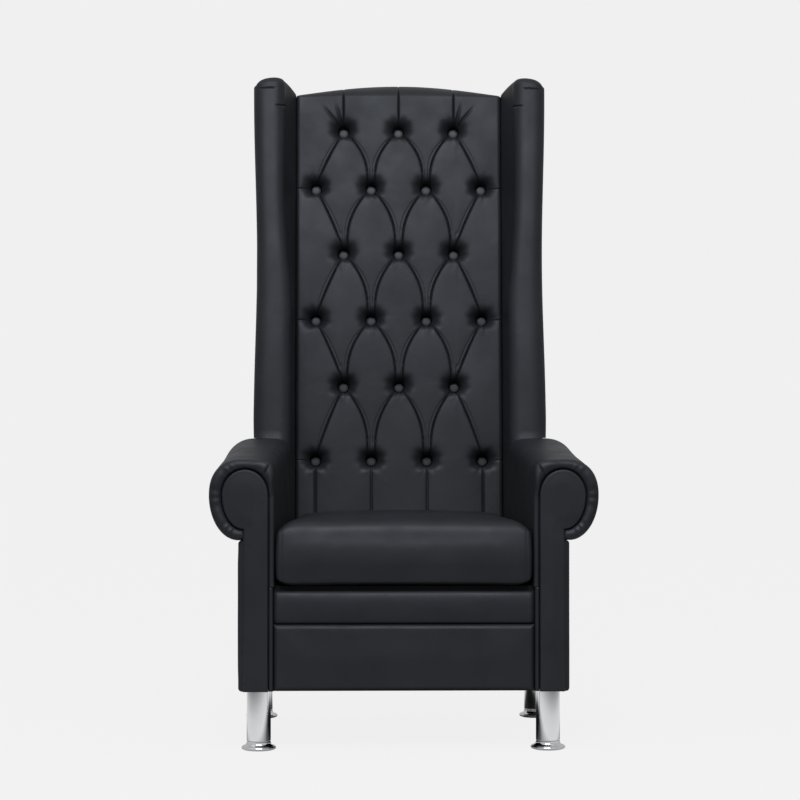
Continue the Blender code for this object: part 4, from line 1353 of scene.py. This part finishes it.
def plate_object(name, low, high):
    """A steel plate with eased edges."""
    bm = bmesh.new()
    bmesh.ops.create_cube(bm, size=1.0)
    for vert in bm.verts:
        vert.co = [(a + b) / 2 + c * (b - a) for a, b, c in zip(low, high, vert.co)]
    bmesh.ops.bevel(bm, geom=bm.edges[:], offset=PLATE_ROUND, segments=2, affect="EDGES", profile=0.5)
    mesh = bpy.data.meshes.new(name)
    bm.to_mesh(mesh)
    bm.free()
    mesh.shade_smooth()
    mesh.set_sharp_from_angle(angle=radians(PLATE_SHARP))
    plate = bpy.data.objects.new(name, mesh)
    bpy.context.scene.collection.objects.link(plate)
    return plate


def foot(node, body):
    """A flared chrome foot with a rolled rim, and the threaded stud that levels it."""
    low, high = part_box(node)
    x, y = (low.x + high.x) / 2, (low.y + high.y) / 2
    radius, rim, stud = LEG_DIAMETER / 2, FOOT_DIAMETER / 2, STUD_DIAMETER / 2
    top = low.z + FOOT_HEIGHT
    stud_top = top + STUD_LENGTH
    profile = [(0.0, stud_top), (stud - STUD_END, stud_top)]
    for turn in range(int((STUD_LENGTH - 2 * STUD_END) / STUD_PITCH)):
        z = stud_top - STUD_END - turn * STUD_PITCH
        profile += [(stud, z), (stud - THREAD_DEPTH, z - STUD_PITCH / 2)]
    profile += [(stud, top), (radius - SHOULDER_ROUND, top), (radius, top - SHOULDER_ROUND)]
    flare = low.z + FOOT_RIM - FLARE_DROP
    wide, tall = rim - FLARE_INSET - radius, top - SHOULDER_DROP - flare
    for bend in np.linspace(0.0, pi / 2, FLARE_STEPS):
        profile.append((radius + wide * (1.0 - cos(bend)), flare + tall * (1.0 - sin(bend))))
    centre = (rim - RIM_ROUND, low.z + FOOT_RIM / 2 - RIM_DROP)
    profile += arc(centre, (RIM_ROUND, FOOT_RIM / 2 - RIM_FLATTENS), *RIM_ARC, RIM_STEPS)
    profile += [(rim - SOLE_INSET, low.z), (0.0, low.z)]
    piece = revolved(node + "_chrome", profile, (x, y, 0.0), ROUND_SIDES)
    dress(piece, CHROME, [node], body)


def legs_and_feet():
    """The four legs and their feet."""
    for end in ("front", "rear"):
        for name in SIDES:
            leg("leg_%s_%s" % (end, name))
            foot("levelling_foot_%s_%s" % (end, name), "foot_%s_%s" % (end, name))


# Hidden frame, kept as the CAD solids
TIMBER_NODES = ("back_post_left", "back_post_right", "back_top_rail", "base_back_rail", "base_front_rail",
                "base_side_rail_left", "base_side_rail_right", "corner_block_left", "corner_block_right")
PLYWOOD_NODES = ("back_board", "side_board_left", "side_board_right")
CLOTH_NODES = ("dust_cover", "seat_deck")


def finish_frame():
    """Wood and cloth finishes on the kept solids."""
    groups = ((TIMBER_NODES, TIMBER), (PLYWOOD_NODES, PLYWOOD), (CLOTH_NODES, DUST_CLOTH))
    for nodes, material in groups:
        for node in nodes:
            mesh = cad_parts[node].data
            mesh.materials.clear()
            mesh.materials.append(material)


# Stage
PALE = 0.871
FILL = 0.40
WORLD_GLOSS = 0.25
FLOOR_TONE = (0.136, 0.144)
FLOOR_ROUGHNESS = 0.9
FLOOR_SHOWING = 0.70
FLOOR_GLOW = 1.215
# Painted shade in the floor's reflections: a round gradient, 0 far off to 1 under the chair's middle, and
# how much pale glow reflections see at each mark, giving a painted shadow under the chair and a painted
# pale pool round it
PAINTED_SHADE_REACH = 1.6
PAINTED_SHADE_POOL = ((0.0, 0.05), (0.40, 0.75), (0.62, 0.90), (0.78, 0.0))
KEY_STRENGTH = 0.30
KEY_SPREAD = radians(80.0)
KEY_TILT = radians(24.0)
KEY_TURN = radians(-25.0)
SOFTBOX_PLACE = (-0.15, -2.6, 2.65)
SOFTBOX_AIM = (0.0, 0.1, 0.9)
SOFTBOX_SIZE = (2.2, 1.3)
SOFTBOX_POWER = 78.0
SOFTBOX_TINT = (0.95, 0.985, 1.05)
FLOOR_REACH = 60.0
CAMERA_PLACE = (-0.102, -4.904, 0.663)
CAMERA_YAW = radians(1.18)
CAMERA_PITCH = radians(0.813)
CAMERA_LENS = 98.9


def seen_directly(tree, reflected):
    """1 for a ray from the camera or a clear surface, a share for a reflection, 0 for a ray that lights."""
    path = add(tree, "ShaderNodeLightPath").outputs
    seen = combined(tree, "MULTIPLY", path["Is Glossy Ray"], reflected)
    for other in ("Is Camera Ray", "Is Transmission Ray"):
        seen = combined(tree, "MAXIMUM", seen, path[other])
    return seen


def floor_reflection_painted_shade(tree, place):
    """How pale reflections see the floor: a painted shadow under the chair, a painted pale pool round it,
    plainer far off.
    """
    painted_shade_gradient = add(tree, "ShaderNodeTexGradient", {"Vector": stretched(tree, place, (1.0 / PAINTED_SHADE_REACH,) * 3)},
               gradient_type="SPHERICAL")
    ramp = add(tree, "ShaderNodeValToRGB", {"Fac": painted_shade_gradient.outputs["Fac"]})
    ramp.color_ramp.elements[1].color = (0.0, 0.0, 0.0, 1.0)
    for share, paleness in PAINTED_SHADE_POOL:
        ramp.color_ramp.elements.new(share).color = (paleness, paleness, paleness, 1.0)
    return ramp.outputs["Color"]


def pale_world():
    """Plain fill light, seen as a pale background by the camera and in reflections."""
    world = bpy.data.worlds.new("studio")
    bpy.context.scene.world = world
    world.use_nodes = True
    tree = world.node_tree
    strength = ranged(tree, seen_directly(tree, WORLD_GLOSS), WHOLE, (FILL, PALE))
    feed(tree, tree.nodes["Background"], {"Color": WHITE, "Strength": strength})


def pale_floor():
    """A pale floor that still takes the chair's shadow, with a painted shadow under the chair and a painted
    pale pool round it in what reflections see.
    """
    made, tree, shader, place = new_material("pale_floor")
    tone = ranged(tree, noise(tree, place, 1.5, 2.0), MOST, FLOOR_TONE)
    feed(tree, shader, {"Base Color": tone, "Roughness": FLOOR_ROUGHNESS, "Specular IOR Level": 0.0})
    glow = add(tree, "ShaderNodeEmission", {"Color": WHITE, "Strength": FLOOR_GLOW})
    seen = seen_directly(tree, floor_reflection_painted_shade(tree, place))
    showing = ranged(tree, seen, WHOLE, (0.0, FLOOR_SHOWING))
    mixed = add(tree, "ShaderNodeMixShader", {0: showing, 1: shader.outputs[0], 2: glow.outputs[0]})
    feed(tree, tree.nodes["Material Output"], {"Surface": mixed.outputs[0]})
    area = (-FLOOR_REACH, FLOOR_REACH, -FLOOR_REACH, FLOOR_REACH)
    floor = new_object("floor", [(x, y, 0.0) for x, y in rectangle(*area)], [(0, 1, 2, 3)])
    floor.data.materials.append(made)


def placed(name, data):
    """A lamp or camera put into the scene."""
    made = bpy.data.objects.new(name, data)
    bpy.context.scene.collection.objects.link(made)
    return made


def soft_key():
    """A broad soft lamp from above, a little to the front."""
    lamp = bpy.data.lights.new("soft_key", "SUN")
    lamp.energy = KEY_STRENGTH
    lamp.angle = KEY_SPREAD
    placed("soft_key", lamp).rotation_euler = (KEY_TILT, 0.0, KEY_TURN)


def softbox():
    """A large soft lamp in front and above, towards the back of the chair."""
    lamp = bpy.data.lights.new("softbox", "AREA")
    lamp.shape = "RECTANGLE"
    lamp.size, lamp.size_y = SOFTBOX_SIZE
    lamp.energy = SOFTBOX_POWER
    lamp.color = SOFTBOX_TINT
    box = placed("softbox", lamp)
    box.location = SOFTBOX_PLACE
    towards = Vector(SOFTBOX_AIM) - Vector(SOFTBOX_PLACE)
    box.rotation_euler = towards.to_track_quat("-Z", "Y").to_euler()
    box.visible_camera = False


def add_camera():
    """The photo's camera: a long lens in front, a little to the chair's right."""
    lens = bpy.data.cameras.new("camera")
    lens.lens = CAMERA_LENS
    camera = placed("camera", lens)
    camera.location = CAMERA_PLACE
    camera.rotation_euler = (pi / 2 + CAMERA_PITCH, 0.0, -CAMERA_YAW)
    bpy.context.scene.camera = camera


def build():
    """Every piece of the chair, then the stage."""
    back_cushion()
    tuft_buttons()
    for name, side in SIDES.items():
        arm_pad(name, side)
        arm_facing(name, side)
        wing_pad(name, side)
        wing_outer_panel(name, side)
        side_panel(name, side)
    outside_back()
    front_panel()
    edge_bands()
    seat_roll()
    seat_cushion()
    legs_and_feet()
    finish_frame()
    pale_world()
    pale_floor()
    soft_key()
    softbox()
    add_camera()


build()
bpy.context.scene.view_settings.view_transform = "Standard"
